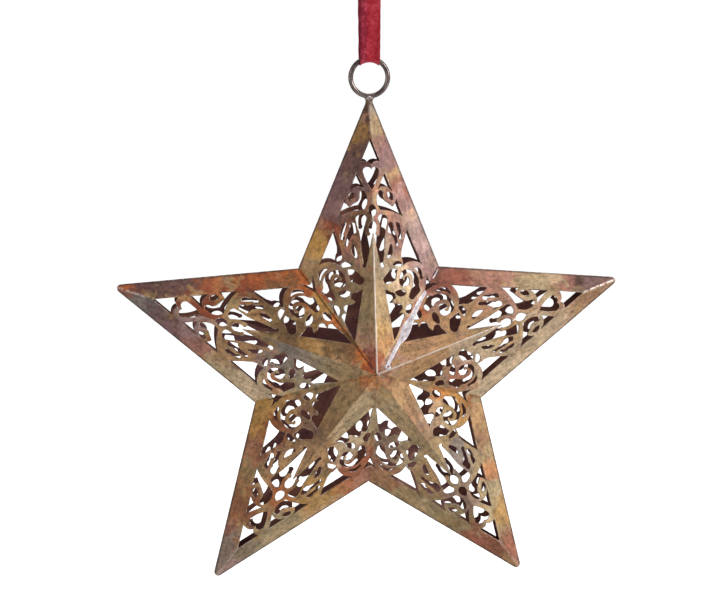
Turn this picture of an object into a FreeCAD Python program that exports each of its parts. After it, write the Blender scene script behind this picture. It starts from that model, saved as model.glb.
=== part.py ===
import FreeCAD, Part
import math
import os

os.makedirs("parts", exist_ok=True)

# Hanging five-point star of pierced tin sheet, front and back alike, on a ribbon loop.
# Millimetres, +Z up, front face towards -Y. The origin is the top of the ribbon loop's
# inside, where the loop bears on what it hangs from.
document = FreeCAD.newDocument("PiercedTinStar")

# Driving sizes
DRIVING_SIZES = {
    # star centre to the point that an arm's two sharp rims aim at
    "tip_radius": 83.0,
    # star centre to the corner between two arms, on the sharp rim
    "notch_radius": 37.0,
    # height of one half's peak above the plane where the halves meet
    "dome_height": 20.0,
    "sheet_thickness": 0.5,
    # outer radius of the fold along an arm's ridge
    "fold_radius": 0.8,
    # how far in from the sharp rim the meeting edges are dressed flat
    "rim_trim": 0.4,
    # radius of an arm's blunt end
    "tip_round": 1.25,
    # solid strip between the sharp rim and the openings, along the sheet
    "border_width": 6.35,
    # legs of the solder fillet in a valley
    "valley_solder_leg": 0.65,
    # width of the solder fillet inside the rim
    "rim_solder_width": 1.0,
    "ring_mean_radius": 5.6,
    "wire_diameter": 1.5,
    # how far the ring's lowest wire centre lies below the sharp tip
    "ring_sink": 1.7,
    # solder bead between the ring and the top tip
    "bead_radius": 1.4,
    # bead centre below the ring's lowest wire centre
    "bead_drop": 0.6,
    "ribbon_width": 6.0,
    "ribbon_thickness": 0.5,
    # room between the ring's wire and the ribbon over the whole swing
    "ribbon_clearance": 0.2,
    # from the loop's bearing point down to the centre of the wire that hangs in it
    "loop_length": 36.0,
    # inner radius of the loop's top bend
    "loop_top_radius": 4.5,
    # length over which the ribbon's two ends are lapped
    "lap_length": 8.0,
    # how far every cutting solid runs past what it cuts
    "cut_overrun": 0.6,
}

sizes = document.addObject("Spreadsheet::Sheet", "Sizes")
for row, (alias, value) in enumerate(DRIVING_SIZES.items(), start=1):
    sizes.set(f"A{row}", alias)
    sizes.set(f"B{row}", str(value))
    sizes.setAlias(f"B{row}", alias)
document.recompute()


def size(alias):
    """Value of one driving size, read from the sheet."""
    return float(sizes.get(alias))


ARMS = 5
ARM_TURN = 360.0 / ARMS
HALF_ARM_TURN = ARM_TURN / 2

# Shares of a leaf's pierced field. Along runs up the ridge, from the peak (0) to the
# field's tip (1). Across runs square to the ridge, from it (0) to the field's notch
# corner (1). That corner stands this far along.
NOTCH_ALONG_SHARE = 0.396

# Openings of one side of a ridge. A pair ends a straight run. Four numbers end an arc:
# first a point on it, then its end. Each outline closes with a straight run.
SIDE_OPENING_SHARES = {
    "side_triangle": [
        (0.240, 0.858), (0.355, 0.786), (0.235, 0.802, 0.115, 0.790)],
    "curl_eye": [
        (0.275, 0.776), (0.325, 0.778, 0.370, 0.744), (0.325, 0.748, 0.285, 0.760)],
    "crescent": [
        (0.095, 0.720), (0.085, 0.750, 0.115, 0.773), (0.160, 0.783, 0.200, 0.768),
        (0.215, 0.745, 0.275, 0.733), (0.370, 0.717), (0.405, 0.728, 0.435, 0.750),
        (0.540, 0.680), (0.330, 0.698, 0.140, 0.700)],
    "inner_petal_slot": [
        (0.285, 0.644), (0.325, 0.649, 0.365, 0.626), (0.412, 0.600, 0.440, 0.566),
        (0.433, 0.550, 0.405, 0.553), (0.370, 0.582, 0.310, 0.602), (0.265, 0.606)],
    "outer_petal_slot": [
        (0.415, 0.648), (0.455, 0.650, 0.490, 0.628), (0.515, 0.605, 0.520, 0.586),
        (0.500, 0.580, 0.475, 0.600), (0.440, 0.625, 0.415, 0.648)],
    "petal_vein": [
        (0.335, 0.550), (0.345, 0.530, 0.285, 0.497), (0.262, 0.495, 0.258, 0.507),
        (0.275, 0.530, 0.305, 0.550), (0.320, 0.556, 0.335, 0.550)],
    "long_triangle": [
        (0.620, 0.623), (0.860, 0.482), (0.720, 0.490, 0.535, 0.470), (0.525, 0.492),
        (0.500, 0.504), (0.505, 0.528), (0.550, 0.568, 0.620, 0.623)],
    "crown_slot": [
        (0.340, 0.467), (0.410, 0.484, 0.500, 0.480), (0.512, 0.470, 0.490, 0.462),
        (0.410, 0.463, 0.340, 0.467)],
    "crown_kidney": [
        (0.165, 0.407), (0.190, 0.388, 0.260, 0.386), (0.380, 0.402),
        (0.400, 0.425, 0.425, 0.452), (0.350, 0.452), (0.270, 0.438)],
    "rosette_arc": [
        (0.730, 0.458), (0.815, 0.460, 0.872, 0.425), (0.865, 0.413, 0.840, 0.420),
        (0.795, 0.445, 0.730, 0.458)],
    "rosette_volute": [
        (0.620, 0.335), (0.670, 0.325, 0.730, 0.333), (0.840, 0.365),
        (0.815, 0.377, 0.815, 0.400), (0.765, 0.433, 0.650, 0.450),
        (0.530, 0.446, 0.465, 0.412), (0.470, 0.385, 0.550, 0.379),
        (0.620, 0.386), (0.645, 0.402, 0.615, 0.419), (0.580, 0.420, 0.555, 0.404),
        (0.515, 0.408, 0.545, 0.424), (0.625, 0.438, 0.695, 0.410),
        (0.700, 0.385, 0.660, 0.366)],
    "rosette_lens": [
        (0.370, 0.352), (0.470, 0.363, 0.575, 0.354), (0.475, 0.335, 0.370, 0.352)],
    "saw_opening": [
        (0.190, 0.362), (0.330, 0.152), (0.345, 0.150, 0.360, 0.156),
        (0.515, 0.244), (0.520, 0.262, 0.490, 0.266), (0.435, 0.262),
        (0.475, 0.278), (0.490, 0.294, 0.455, 0.302), (0.360, 0.302), (0.305, 0.312),
        (0.370, 0.326), (0.365, 0.345, 0.310, 0.349)],
    "valley_oval": [
        (0.562, 0.268), (0.595, 0.300, 0.660, 0.304), (0.672, 0.297, 0.660, 0.288),
        (0.625, 0.265, 0.575, 0.260)],
    "valley_arrow": [
        (0.920, 0.364), (0.964, 0.432), (0.985, 0.412, 1.010, 0.400), (1.080, 0.380)],
}

# Openings that cross the ridge: the right half, from the ridge back to the ridge.
RIDGE_OPENING_SHARES = {
    "tip_triangle": [
        (0.0, 1.000), (0.155, 0.907), (0.090, 0.907, 0.0, 0.888)],
    "heart": [
        (0.0, 0.868), (0.070, 0.881, 0.125, 0.855), (0.085, 0.823, 0.0, 0.784)],
    "stem_oval": [
        (0.0, 0.722), (0.066, 0.694, 0.0, 0.667)],
    "arm_tip": [
        (0.0, 0.650), (0.045, 0.643, 0.065, 0.624), (0.060, 0.606),
        (0.085, 0.588, 0.115, 0.602), (0.125, 0.630, 0.105, 0.655),
        (0.130, 0.678, 0.190, 0.679), (0.245, 0.675, 0.260, 0.655),
        (0.245, 0.632, 0.220, 0.612), (0.200, 0.580, 0.190, 0.530),
        (0.160, 0.470), (0.138, 0.455, 0.120, 0.464), (0.0, 0.605)],
}

# Shares of a valley, from the peak (0) to the sharp notch (1), that its solder covers
# on each side of the arrow opening
VALLEY_SOLDER_SHARES = [(0.07, 0.735), (0.87, 0.972)]
# How hollow a solder fillet is, as a share of its leg
FILLET_HOLLOW_SHARE = 0.15
# Corner radius of the ribbon's fold under the wire, as a share of the fold's half gap
FOLD_CORNER_SHARE = 0.7
# Where the ribbon's lap starts on the back leg, from its foot (0) to its top bend (1)
LAP_START_SHARE = 0.62

LEAF_NAMES = ["top", "upper_right", "lower_right", "lower_left", "upper_left"]
FRONT_VALLEY_NAMES = ["upper_right", "right", "bottom", "left", "upper_left"]
BACK_VALLEY_NAMES = ["upper_left", "upper_right", "right", "bottom", "left"]

# Places worked out from the driving sizes
ORIGIN = FreeCAD.Vector(0, 0, 0)
ACROSS = FreeCAD.Vector(1, 0, 0)
BACKWARD = FreeCAD.Vector(0, 1, 0)
UPWARD = FreeCAD.Vector(0, 0, 1)

overrun = size("cut_overrun")
thickness = size("sheet_thickness")
peak = FreeCAD.Vector(0, -size("dome_height"), 0)
sharp_tip = FreeCAD.Vector(0, 0, size("tip_radius"))


def plan_point(radius, turn):
    """Point of the star's mid-plane at a radius, turned from +Z towards +X in degrees."""
    angle = math.radians(turn)
    return FreeCAD.Vector(radius * math.sin(angle), 0, radius * math.cos(angle))


def scaled(point, share):
    """A point moved towards the star's centre to a share of its distance."""
    return FreeCAD.Vector(point) * share


sharp_notch = plan_point(size("notch_radius"), HALF_ARM_TURN)
left_notch = plan_point(size("notch_radius"), -HALF_ARM_TURN)

ridge_run = (sharp_tip - peak).Length
ridge_way = (sharp_tip - peak).normalize()
ridge_out = ACROSS.cross(ridge_way).normalize()
facet_span = (sharp_tip - peak).cross(sharp_notch - peak)
facet_out = (facet_span * -1).normalize()
facet_across = facet_out.cross(ridge_way).normalize()
if facet_across.x < 0:
    facet_across = facet_across * -1
facet_height = facet_span.Length / (sharp_tip - sharp_notch).Length
fold_angle = math.acos(facet_across.dot(ACROSS))

rim_distance = sharp_tip.cross(sharp_notch).Length / (sharp_tip - sharp_notch).Length
trim_share = 1 - size("rim_trim") / rim_distance
cavity_share = 1 - thickness / abs(peak.dot(facet_out))
solder_share = cavity_share - size("rim_solder_width") / rim_distance

field_share = 1 - size("border_width") / facet_height
field_tip = (sharp_tip - peak) * field_share
field_notch = (sharp_notch - peak) * field_share

wire_radius = size("wire_diameter") / 2
ring_radius = size("ring_mean_radius")
pivot_drop = size("loop_length")
ring_centre = FreeCAD.Vector(0, 0, -pivot_drop - ring_radius)
ring_foot = ring_centre - UPWARD * ring_radius
star_centre = ring_foot - UPWARD * (size("tip_radius") - size("ring_sink"))


def field_point(across, along):
    """Point of the right facet's outer face at shares of the pierced field."""
    return peak + field_tip * (along - across * NOTCH_ALONG_SHARE) + field_notch * across


def ridge_point(across, along):
    """The same point moved square to the ridge into the plane above it."""
    point = field_point(across, along)
    return point + ridge_out * (overrun - (point - peak).dot(ridge_out))


def outline_edges(shares, place):
    """Edges of one outline from its table of shares, without the closing run."""
    here = place(*shares[0])
    edges = []
    for entry in shares[1:]:
        target = place(*entry[-2:])
        if len(entry) == 4:
            edges.append(Part.Arc(here, place(*entry[:2]), target).toShape())
        else:
            edges.append(Part.LineSegment(here, target).toShape())
        here = target
    return edges


def closed_face(edges):
    """Face inside a chain of edges, closed with a straight run where it is open."""
    start = edges[0].firstVertex().Point
    end = edges[-1].lastVertex().Point
    if (end - start).Length > Part.Precision.confusion() * ARMS:
        edges = edges + [Part.LineSegment(end, start).toShape()]
    return Part.Face(Part.Wire(Part.__sortEdges__(edges)))


def polygon_face(points):
    """Face inside a closed polygon."""
    return Part.Face(Part.makePolygon(points + [points[0]]))


def side_punch(shares):
    """Punch for one opening beside the ridge, square to the right facet."""
    face = closed_face(outline_edges(shares, field_point))
    face.translate(facet_out * overrun)
    return face.extrude(facet_out * -(thickness + overrun * 2))


def ridge_punch(shares):
    """Punch for one opening across the ridge, square to the ridge."""
    half = outline_edges(shares, ridge_point)
    if half[-1].lastVertex().Point.x > Part.Precision.confusion():
        raise ValueError("A ridge opening has to end on the ridge")
    wire = Part.Wire(half)
    both = Part.Wire(Part.__sortEdges__(wire.Edges + wire.mirror(ORIGIN, ACROSS).Edges))
    return Part.Face(both).extrude(ridge_out * -size("dome_height"))


def folded_sheet():
    """Sheet folded along the ridge, longer and wider than a leaf."""
    reach = facet_across * size("notch_radius")
    bend = facet_across * (size("fold_radius") * math.tan(fold_angle))
    crown = ridge_out * -(size("fold_radius") * (1 / math.cos(fold_angle) - 1))
    depth = facet_out * -thickness
    corner = ridge_out * -(thickness / math.cos(fold_angle))
    foot = peak - ridge_way * overrun

    def left(vector):
        return FreeCAD.Vector(-vector.x, vector.y, vector.z)

    section = [
        Part.LineSegment(foot + reach, foot + bend).toShape(),
        Part.Arc(foot + bend, foot + crown, foot + left(bend)).toShape(),
        Part.LineSegment(foot + left(bend), foot + left(reach)).toShape(),
        Part.LineSegment(foot + left(reach), foot + left(reach + depth)).toShape(),
        Part.LineSegment(foot + left(reach + depth), foot + corner).toShape(),
        Part.LineSegment(foot + corner, foot + reach + depth).toShape(),
        Part.LineSegment(foot + reach + depth, foot + reach).toShape(),
    ]
    face = Part.Face(Part.Wire(section))
    return face.extrude(ridge_way * (ridge_run + overrun * 2))


def arm_outline():
    """Edges of one arm's plan from its right notch round the blunt tip to its left one."""
    tip = scaled(sharp_tip, trim_share)
    notch = scaled(sharp_notch, trim_share)
    rim_way = (tip - notch).normalize()
    rim_out = BACKWARD.cross(rim_way)
    if rim_out.x < 0:
        rim_out = rim_out * -1
    centre = tip - UPWARD * (size("tip_round") / rim_out.z)
    shoulder = centre + rim_out * size("tip_round")
    top = centre + UPWARD * size("tip_round")
    left_shoulder = FreeCAD.Vector(-shoulder.x, 0, shoulder.z)
    return [
        Part.LineSegment(notch, shoulder).toShape(),
        Part.Arc(shoulder, top, left_shoulder).toShape(),
        Part.LineSegment(left_shoulder, scaled(left_notch, trim_share)).toShape(),
    ]


def leaf_block():
    """Upright block over one leaf's plan, from the mid-plane out past the peak."""
    edges = arm_outline()
    edges.append(Part.LineSegment(edges[-1].lastVertex().Point, ORIGIN).toShape())
    edges.append(Part.LineSegment(ORIGIN, edges[0].firstVertex().Point).toShape())
    face = Part.Face(Part.Wire(Part.__sortEdges__(edges)))
    return face.extrude(BACKWARD * -(size("dome_height") + overrun))


def star_block():
    """Upright block over the whole star's dressed outline."""
    edges = []
    for arm in range(ARMS):
        for edge in arm_outline():
            edge.rotate(ORIGIN, BACKWARD, arm * ARM_TURN)
            edges.append(edge)
    face = Part.Face(Part.Wire(Part.__sortEdges__(edges)))
    depth = size("dome_height") + overrun
    face.translate(BACKWARD * -depth)
    return face.extrude(BACKWARD * depth * 2)


def star_prism(share):
    """Upright block over the sharp star's outline, drawn in to a share of it."""
    points = []
    for arm in range(ARMS):
        points.append(plan_point(size("tip_radius") * share, arm * ARM_TURN))
        points.append(plan_point(size("notch_radius") * share, arm * ARM_TURN + HALF_ARM_TURN))
    depth = size("dome_height") + overrun
    face = polygon_face(points)
    face.translate(BACKWARD * -depth)
    return face.extrude(BACKWARD * depth * 2)


def double_dome(share):
    """Solid star with front and back peaks, drawn in to a share of the outer one."""
    faces = []
    for arm in range(ARMS):
        tip = plan_point(size("tip_radius") * share, arm * ARM_TURN)
        for side in (-HALF_ARM_TURN, HALF_ARM_TURN):
            notch = plan_point(size("notch_radius") * share, arm * ARM_TURN + side)
            for top in (scaled(peak, share), scaled(peak, -share)):
                faces.append(polygon_face([top, tip, notch]))
    shell = Part.makeShell(faces)
    shell.sewShape()
    solid = Part.makeSolid(shell)
    if solid.Volume < 0:
        solid.reverse()
    return solid


def valley_fillet(start_share, end_share):
    """Solder fillet in the valley at the right of the top arm, between two shares."""
    valley = sharp_notch - peak
    valley_way = FreeCAD.Vector(valley).normalize()
    inward = facet_out.cross(valley_way).normalize()
    if inward.x > 0:
        inward = inward * -1
    plane_normal = BACKWARD.cross(plan_point(1, HALF_ARM_TURN)).normalize()
    outward = inward - plane_normal * (2 * inward.dot(plane_normal))
    foot = peak + valley * start_share
    leg = size("valley_solder_leg")
    first = foot + inward * leg
    second = foot + outward * leg
    middle = (first + second) * 0.5
    hollow = middle + (foot - middle) * FILLET_HOLLOW_SHARE
    section = [
        Part.LineSegment(foot, first).toShape(),
        Part.Arc(first, hollow, second).toShape(),
        Part.LineSegment(second, foot).toShape(),
    ]
    return Part.Face(Part.Wire(section)).extrude(valley * (end_share - start_share))


# Room for the ribbon round the wire: its inner radius about the ring's centre, and the
# half gap that the wire sweeps at the ribbon's edges when the star swings
clearance = size("ribbon_clearance")
half_ribbon = size("ribbon_width") / 2
tape = size("ribbon_thickness")
trough_radius = ring_radius - wire_radius - clearance
swept_edge = math.sqrt((ring_radius - wire_radius) ** 2 - half_ribbon ** 2)
half_gap = ring_radius - swept_edge + clearance
join_level = -pivot_drop + size("wire_diameter")


def ribbon_section(offset):
    """Points of the fold's section in the plane of the ring's axis, at an offset."""
    corner = half_gap * FOLD_CORNER_SHARE + offset
    side = half_gap + offset
    floor = trough_radius - offset
    top = math.hypot(half_ribbon, join_level - ring_centre.z) + overrun
    diagonal = corner * (1 - math.sqrt(0.5))
    return [
        (side, top), (side, floor + corner), (side - diagonal, floor + diagonal),
        (side - corner, floor)]


def fold_face():
    """Section of the ribbon's fold under the wire, standing on the ring's axis."""
    def right(pair):
        return ring_centre + BACKWARD * pair[0] + UPWARD * pair[1]

    def left(pair):
        return ring_centre - BACKWARD * pair[0] + UPWARD * pair[1]

    inner = ribbon_section(0)
    outer = ribbon_section(tape)
    edges = []
    for points in (inner, outer):
        for place in (left, right):
            edges.append(Part.LineSegment(place(points[0]), place(points[1])).toShape())
            arc = Part.Arc(place(points[1]), place(points[2]), place(points[3]))
            edges.append(arc.toShape())
        edges.append(Part.LineSegment(left(points[3]), right(points[3])).toShape())
    for place in (left, right):
        edges.append(Part.LineSegment(place(inner[0]), place(outer[0])).toShape())
    return Part.Face(Part.Wire(Part.__sortEdges__(edges)))


def tangent_point(foot, centre, radius):
    """Where a line from a foot touches a circle in the YZ plane, on the +Y side."""
    away = foot - centre
    lean = math.acos(radius / away.Length)
    bearing = math.atan2(away.z, away.y) + lean
    return centre + FreeCAD.Vector(0, math.cos(bearing), math.sin(bearing)) * radius


def back_leg(offset):
    """Foot and top of the back leg's face at an offset from the loop's inside."""
    foot = FreeCAD.Vector(0, half_gap + offset, join_level)
    centre = UPWARD * -size("loop_top_radius")
    return foot, tangent_point(foot, centre, size("loop_top_radius") + offset)


def loop_face():
    """Side view of the ribbon's two legs and top bend."""
    def front(point):
        return FreeCAD.Vector(0, -point.y, point.z)

    inner_foot, inner_top = back_leg(0)
    outer_foot, outer_top = back_leg(tape)
    crest = UPWARD * tape
    edges = [
        Part.LineSegment(outer_foot, outer_top).toShape(),
        Part.Arc(outer_top, crest, front(outer_top)).toShape(),
        Part.LineSegment(front(outer_top), front(outer_foot)).toShape(),
        Part.LineSegment(front(outer_foot), front(inner_foot)).toShape(),
        Part.LineSegment(front(inner_foot), front(inner_top)).toShape(),
        Part.Arc(front(inner_top), ORIGIN, inner_top).toShape(),
        Part.LineSegment(inner_top, inner_foot).toShape(),
        Part.LineSegment(inner_foot, outer_foot).toShape(),
    ]
    return Part.Face(Part.Wire(edges))


def lap_face():
    """Side view of the ribbon's end, lapped over the back leg's outside."""
    foot, top = back_leg(tape)
    leg_way = (top - foot).normalize()
    leg_out = leg_way.cross(ACROSS)
    if leg_out.y < 0:
        leg_out = leg_out * -1
    start = foot + (top - foot) * LAP_START_SHARE
    end = start + leg_way * size("lap_length")
    return polygon_face([start, end, end + leg_out * tape, start + leg_out * tape])


def shape_object(name, shape):
    """A document object that holds a worked-out shape."""
    holder = document.addObject("Part::Feature", name)
    holder.Shape = shape
    return holder


def extrusion(name, face, length_expression):
    """A face extruded evenly to both sides along X."""
    pad = document.addObject("Part::Extrusion", name)
    pad.Base = shape_object(name + "_face", face)
    pad.DirMode = "Custom"
    pad.Dir = ACROSS
    pad.Solid = True
    pad.Symmetric = True
    pad.setExpression("LengthFwd", length_expression)
    return pad


def boolean(kind, name, base, tool):
    """A Part::Cut or Part::Common of two objects."""
    result = document.addObject(kind, name)
    result.Base = base
    result.Tool = tool
    return result


STAR_CENTRE_EXPRESSION = (
    "-Sizes.loop_length - 2 * Sizes.ring_mean_radius - Sizes.tip_radius + Sizes.ring_sink")
RING_CENTRE_EXPRESSION = "-Sizes.loop_length - Sizes.ring_mean_radius"

sub_parts = []


def keep(label, item):
    """Name a sub-part after its node and put it on the list that is written out."""
    item.Label = label
    sub_parts.append(item)
    return item


def star_part(label, source, turn, is_back):
    """A copy of a master piece, turned to its arm and set about the star's centre."""
    piece = document.addObject("Part::Compound", label)
    piece.Links = [source]
    rotation = FreeCAD.Rotation(BACKWARD, turn)
    if is_back:
        rotation = rotation * FreeCAD.Rotation(UPWARD, 180)
    piece.Placement = FreeCAD.Placement(star_centre, rotation)
    piece.setExpression("Placement.Base.z", STAR_CENTRE_EXPRESSION)
    return keep(label, piece)


# The leaf: one folded and pierced sheet, the same ten times
blank = boolean(
    "Part::Common", "leaf_blank",
    shape_object("folded_sheet", folded_sheet()), shape_object("leaf_block", leaf_block()))
ridge_punches = [ridge_punch(shares) for shares in RIDGE_OPENING_SHARES.values()]
ridge_pierced = boolean(
    "Part::Cut", "ridge_pierced_leaf", blank,
    shape_object("ridge_punches", Part.makeCompound(ridge_punches)))
right_punches = [side_punch(shares) for shares in SIDE_OPENING_SHARES.values()]
left_punches = [punch.mirror(ORIGIN, ACROSS) for punch in right_punches]
leaf = boolean(
    "Part::Cut", "leaf", ridge_pierced,
    shape_object("side_punches", Part.makeCompound(right_punches + left_punches)))

for arm, arm_name in enumerate(LEAF_NAMES):
    star_part("front_leaf_" + arm_name, leaf, arm * ARM_TURN, False)
for arm, arm_name in enumerate(LEAF_NAMES):
    star_part("back_leaf_" + arm_name, leaf, arm * ARM_TURN, True)

# Solder in the valleys between the leaves, in two runs each
runs = [valley_fillet(start, end) for start, end in VALLEY_SOLDER_SHARES]
valley_runs = shape_object("valley_runs", Part.makeCompound(runs))
for arm, valley_name in enumerate(FRONT_VALLEY_NAMES):
    star_part("front_solder_" + valley_name, valley_runs, arm * ARM_TURN, False)
for arm, valley_name in enumerate(BACK_VALLEY_NAMES):
    star_part("back_solder_" + valley_name, valley_runs, arm * ARM_TURN, True)

# Solder inside the rim, where the front and back leaves meet
outline = shape_object("star_outline", star_block())
cavity = shape_object("cavity", double_dome(cavity_share))
filled_rim = boolean("Part::Common", "filled_rim", cavity, outline)
rim_fillet = boolean(
    "Part::Cut", "rim_fillet", filled_rim,
    shape_object("rim_solder_inside", star_prism(solder_share)))
star_part("rim_solder", rim_fillet, 0, False)

# The ring, in the star's plane
ring = document.addObject("Part::Torus", "hanging_ring")
ring.setExpression("Radius1", "Sizes.ring_mean_radius")
ring.setExpression("Radius2", "Sizes.wire_diameter / 2")
ring.Placement = FreeCAD.Placement(ring_centre, FreeCAD.Rotation(ACROSS, 90))
ring.setExpression("Placement.Base.z", RING_CENTRE_EXPRESSION)
keep("hanging_ring", ring)

# The bead that holds the ring to the top tip
bead = document.addObject("Part::Sphere", "bead")
bead.setExpression("Radius", "Sizes.bead_radius")
bead.Placement = FreeCAD.Placement(ring_foot, FreeCAD.Rotation())
bead.setExpression(
    "Placement.Base.z", RING_CENTRE_EXPRESSION + " - Sizes.ring_mean_radius - Sizes.bead_drop")
core = boolean("Part::Common", "core", shape_object("outer_dome", double_dome(1)), outline)
placed_core = document.addObject("Part::Compound", "placed_core")
placed_core.Links = [core]
placed_core.Placement = FreeCAD.Placement(star_centre, FreeCAD.Rotation())
placed_core.setExpression("Placement.Base.z", STAR_CENTRE_EXPRESSION)
bead_off_tip = boolean("Part::Cut", "bead_off_tip", bead, placed_core)
keep("ring_solder", boolean("Part::Cut", "ring_solder", bead_off_tip, ring))

# The ribbon: a loop with a lapped end and a trough-shaped fold under the wire
fold_turn = document.addObject("Part::Revolution", "fold_turn")
fold_turn.Source = shape_object("fold_face", fold_face())
fold_turn.Axis = BACKWARD
fold_turn.Base = ring_centre
fold_turn.Angle = 180
fold_turn.Symmetric = True
fold_turn.Solid = True
fold_window = document.addObject("Part::Box", "fold_window")
fold_window.setExpression("Length", "Sizes.ribbon_width")
fold_window.setExpression("Width", "4 * Sizes.ring_mean_radius")
fold_window.setExpression("Height", "Sizes.ring_mean_radius + Sizes.wire_diameter")
fold_window.setExpression("Placement.Base.x", "-Sizes.ribbon_width / 2")
fold_window.setExpression("Placement.Base.y", "-2 * Sizes.ring_mean_radius")
fold_window.setExpression("Placement.Base.z", RING_CENTRE_EXPRESSION)
fold = boolean("Part::Common", "fold", fold_turn, fold_window)
ribbon = document.addObject("Part::MultiFuse", "ribbon")
ribbon.Shapes = [
    extrusion("loop", loop_face(), "Sizes.ribbon_width"),
    extrusion("lap", lap_face(), "Sizes.ribbon_width"),
    fold]
ribbon.Refine = True
keep("ribbon", ribbon)

document.recompute()

for item in document.Objects:
    if "Invalid" in item.State or "Error" in item.State:
        raise RuntimeError(f"{item.Name} failed: {item.State}")
for item in sub_parts:
    if item.Shape.isNull() or not item.Shape.isValid():
        raise RuntimeError(f"{item.Label} has no valid shape")
if len(leaf.Shape.Solids) != 1:
    raise RuntimeError(f"the leaf fell into {len(leaf.Shape.Solids)} solids")
for item in sub_parts:
    item.Shape.exportStep(f"parts/{item.Label}.step")
    box = item.Shape.BoundBox
    print(
        f"{item.Label}: {len(item.Shape.Solids)} solids, {item.Shape.Volume:.2f} mm3, "
        f"x {box.XMin:.2f} {box.XMax:.2f} y {box.YMin:.2f} {box.YMax:.2f} "
        f"z {box.ZMin:.2f} {box.ZMax:.2f}")
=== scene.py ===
"""Looks of the hanging tin star: patinated leaves, solder, wire ring and velvet ribbon."""

import logging
import math
from dataclasses import dataclass, field, replace
from enum import Enum
from typing import Sequence, Union

import bmesh
import bpy
from mathutils import Matrix, Vector


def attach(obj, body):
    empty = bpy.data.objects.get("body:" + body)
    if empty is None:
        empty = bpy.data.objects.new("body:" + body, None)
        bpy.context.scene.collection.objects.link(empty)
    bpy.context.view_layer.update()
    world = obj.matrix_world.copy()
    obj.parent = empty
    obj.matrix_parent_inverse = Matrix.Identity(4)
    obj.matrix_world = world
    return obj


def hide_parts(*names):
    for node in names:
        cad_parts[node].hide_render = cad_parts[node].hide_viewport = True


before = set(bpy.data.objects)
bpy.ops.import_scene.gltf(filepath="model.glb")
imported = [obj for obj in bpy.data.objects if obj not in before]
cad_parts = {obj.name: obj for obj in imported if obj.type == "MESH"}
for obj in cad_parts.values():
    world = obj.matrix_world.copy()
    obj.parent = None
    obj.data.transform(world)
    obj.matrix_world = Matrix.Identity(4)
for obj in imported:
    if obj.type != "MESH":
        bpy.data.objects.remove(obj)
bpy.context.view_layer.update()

LOG = logging.getLogger("tin_star")

MM = 0.001
WHITE = (1.0, 1.0, 1.0, 1.0)
SRGB_KNEE = 0.04045
SRGB_SLOPE = 12.92
SRGB_OFFSET = 0.055
SRGB_POWER = 2.4
NOISE_MEAN = 0.5
NOISE_SHIFT = Vector((0.31, 0.73, 0.17))
# Places of the Mix node's colour sockets, whose names its other sockets share.
MIX_FIRST, MIX_SECOND, MIX_RESULT = 6, 7, 2

Socket = bpy.types.NodeSocket
Sockets = bpy.types.bpy_prop_collection
Value = Union[Socket, float, tuple, Vector]


def linear(red: int, green: int, blue: int) -> tuple[float, float, float, float]:
    """Turn a screen colour into the linear one that shaders use.

    Args:
        red: Red, from 0 to 255.
        green: Green, from 0 to 255.
        blue: Blue, from 0 to 255.

    Returns:
        Linear red, green and blue, and an alpha of 1.
    """

    def channel(value: int) -> float:
        """Turn one channel."""
        share = value / 255
        if share <= SRGB_KNEE:
            return share / SRGB_SLOPE
        return ((share + SRGB_OFFSET) / (1 + SRGB_OFFSET)) ** SRGB_POWER

    return (channel(red), channel(green), channel(blue), 1.0)


def clamped(value: float) -> float:
    """Keep a number from 0 to 1."""
    return max(0.0, min(1.0, value))


def shares(count: int) -> list[float]:
    """Divide the way from 0 to 1 evenly, with both ends."""
    return [step / count for step in range(count + 1)]


class Tone(Enum):
    """Colours of the patina, the bare metals and the ribbon."""

    SAND = (212, 190, 156)
    PALE_KHAKI = (196, 176, 138)
    KHAKI = (168, 144, 104)
    OLIVE = (142, 122, 82)
    TAN = (184, 144, 100)
    OCHRE = (186, 142, 72)
    PINK_TAN = (192, 150, 132)
    ROSE = (176, 124, 108)
    ROSE_DEEP = (146, 102, 88)
    BRICK = (160, 96, 74)
    SIENNA = (128, 78, 56)
    RUST = (176, 92, 42)
    DEEP_RUST = (134, 62, 34)
    ORANGE = (204, 112, 44)
    MAUVE = (128, 98, 98)
    PLUM = (98, 68, 66)
    STEEL_GREY = (138, 128, 124)
    STEEL_OLIVE = (140, 130, 108)
    OLIVE_DARK = (108, 82, 50)
    MAUVE_PALE = (178, 146, 142)
    UMBER = (86, 60, 44)
    CHAR = (52, 38, 34)
    WALL_BROWN = (104, 70, 58)
    INSIDE_BROWN = (150, 100, 82)
    INSIDE_PLUM = (118, 76, 76)
    # Bare metal, also used as painted highlight on ridges, tip folds and opening edges.
    WORN_METAL_AND_HIGHLIGHT = (226, 208, 194)
    SOLDER = (236, 230, 234)
    SOLDER_SHADE = (190, 176, 182)
    WIRE = (142, 128, 122)
    WIRE_DARK = (86, 74, 74)
    VELVET = (174, 28, 45)
    VELVET_DARK = (126, 14, 42)
    VELVET_SHEEN = (226, 96, 108)

    @property
    def rgba(self) -> tuple[float, float, float, float]:
        """The tone as a linear colour."""
        return linear(*self.value)


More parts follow.
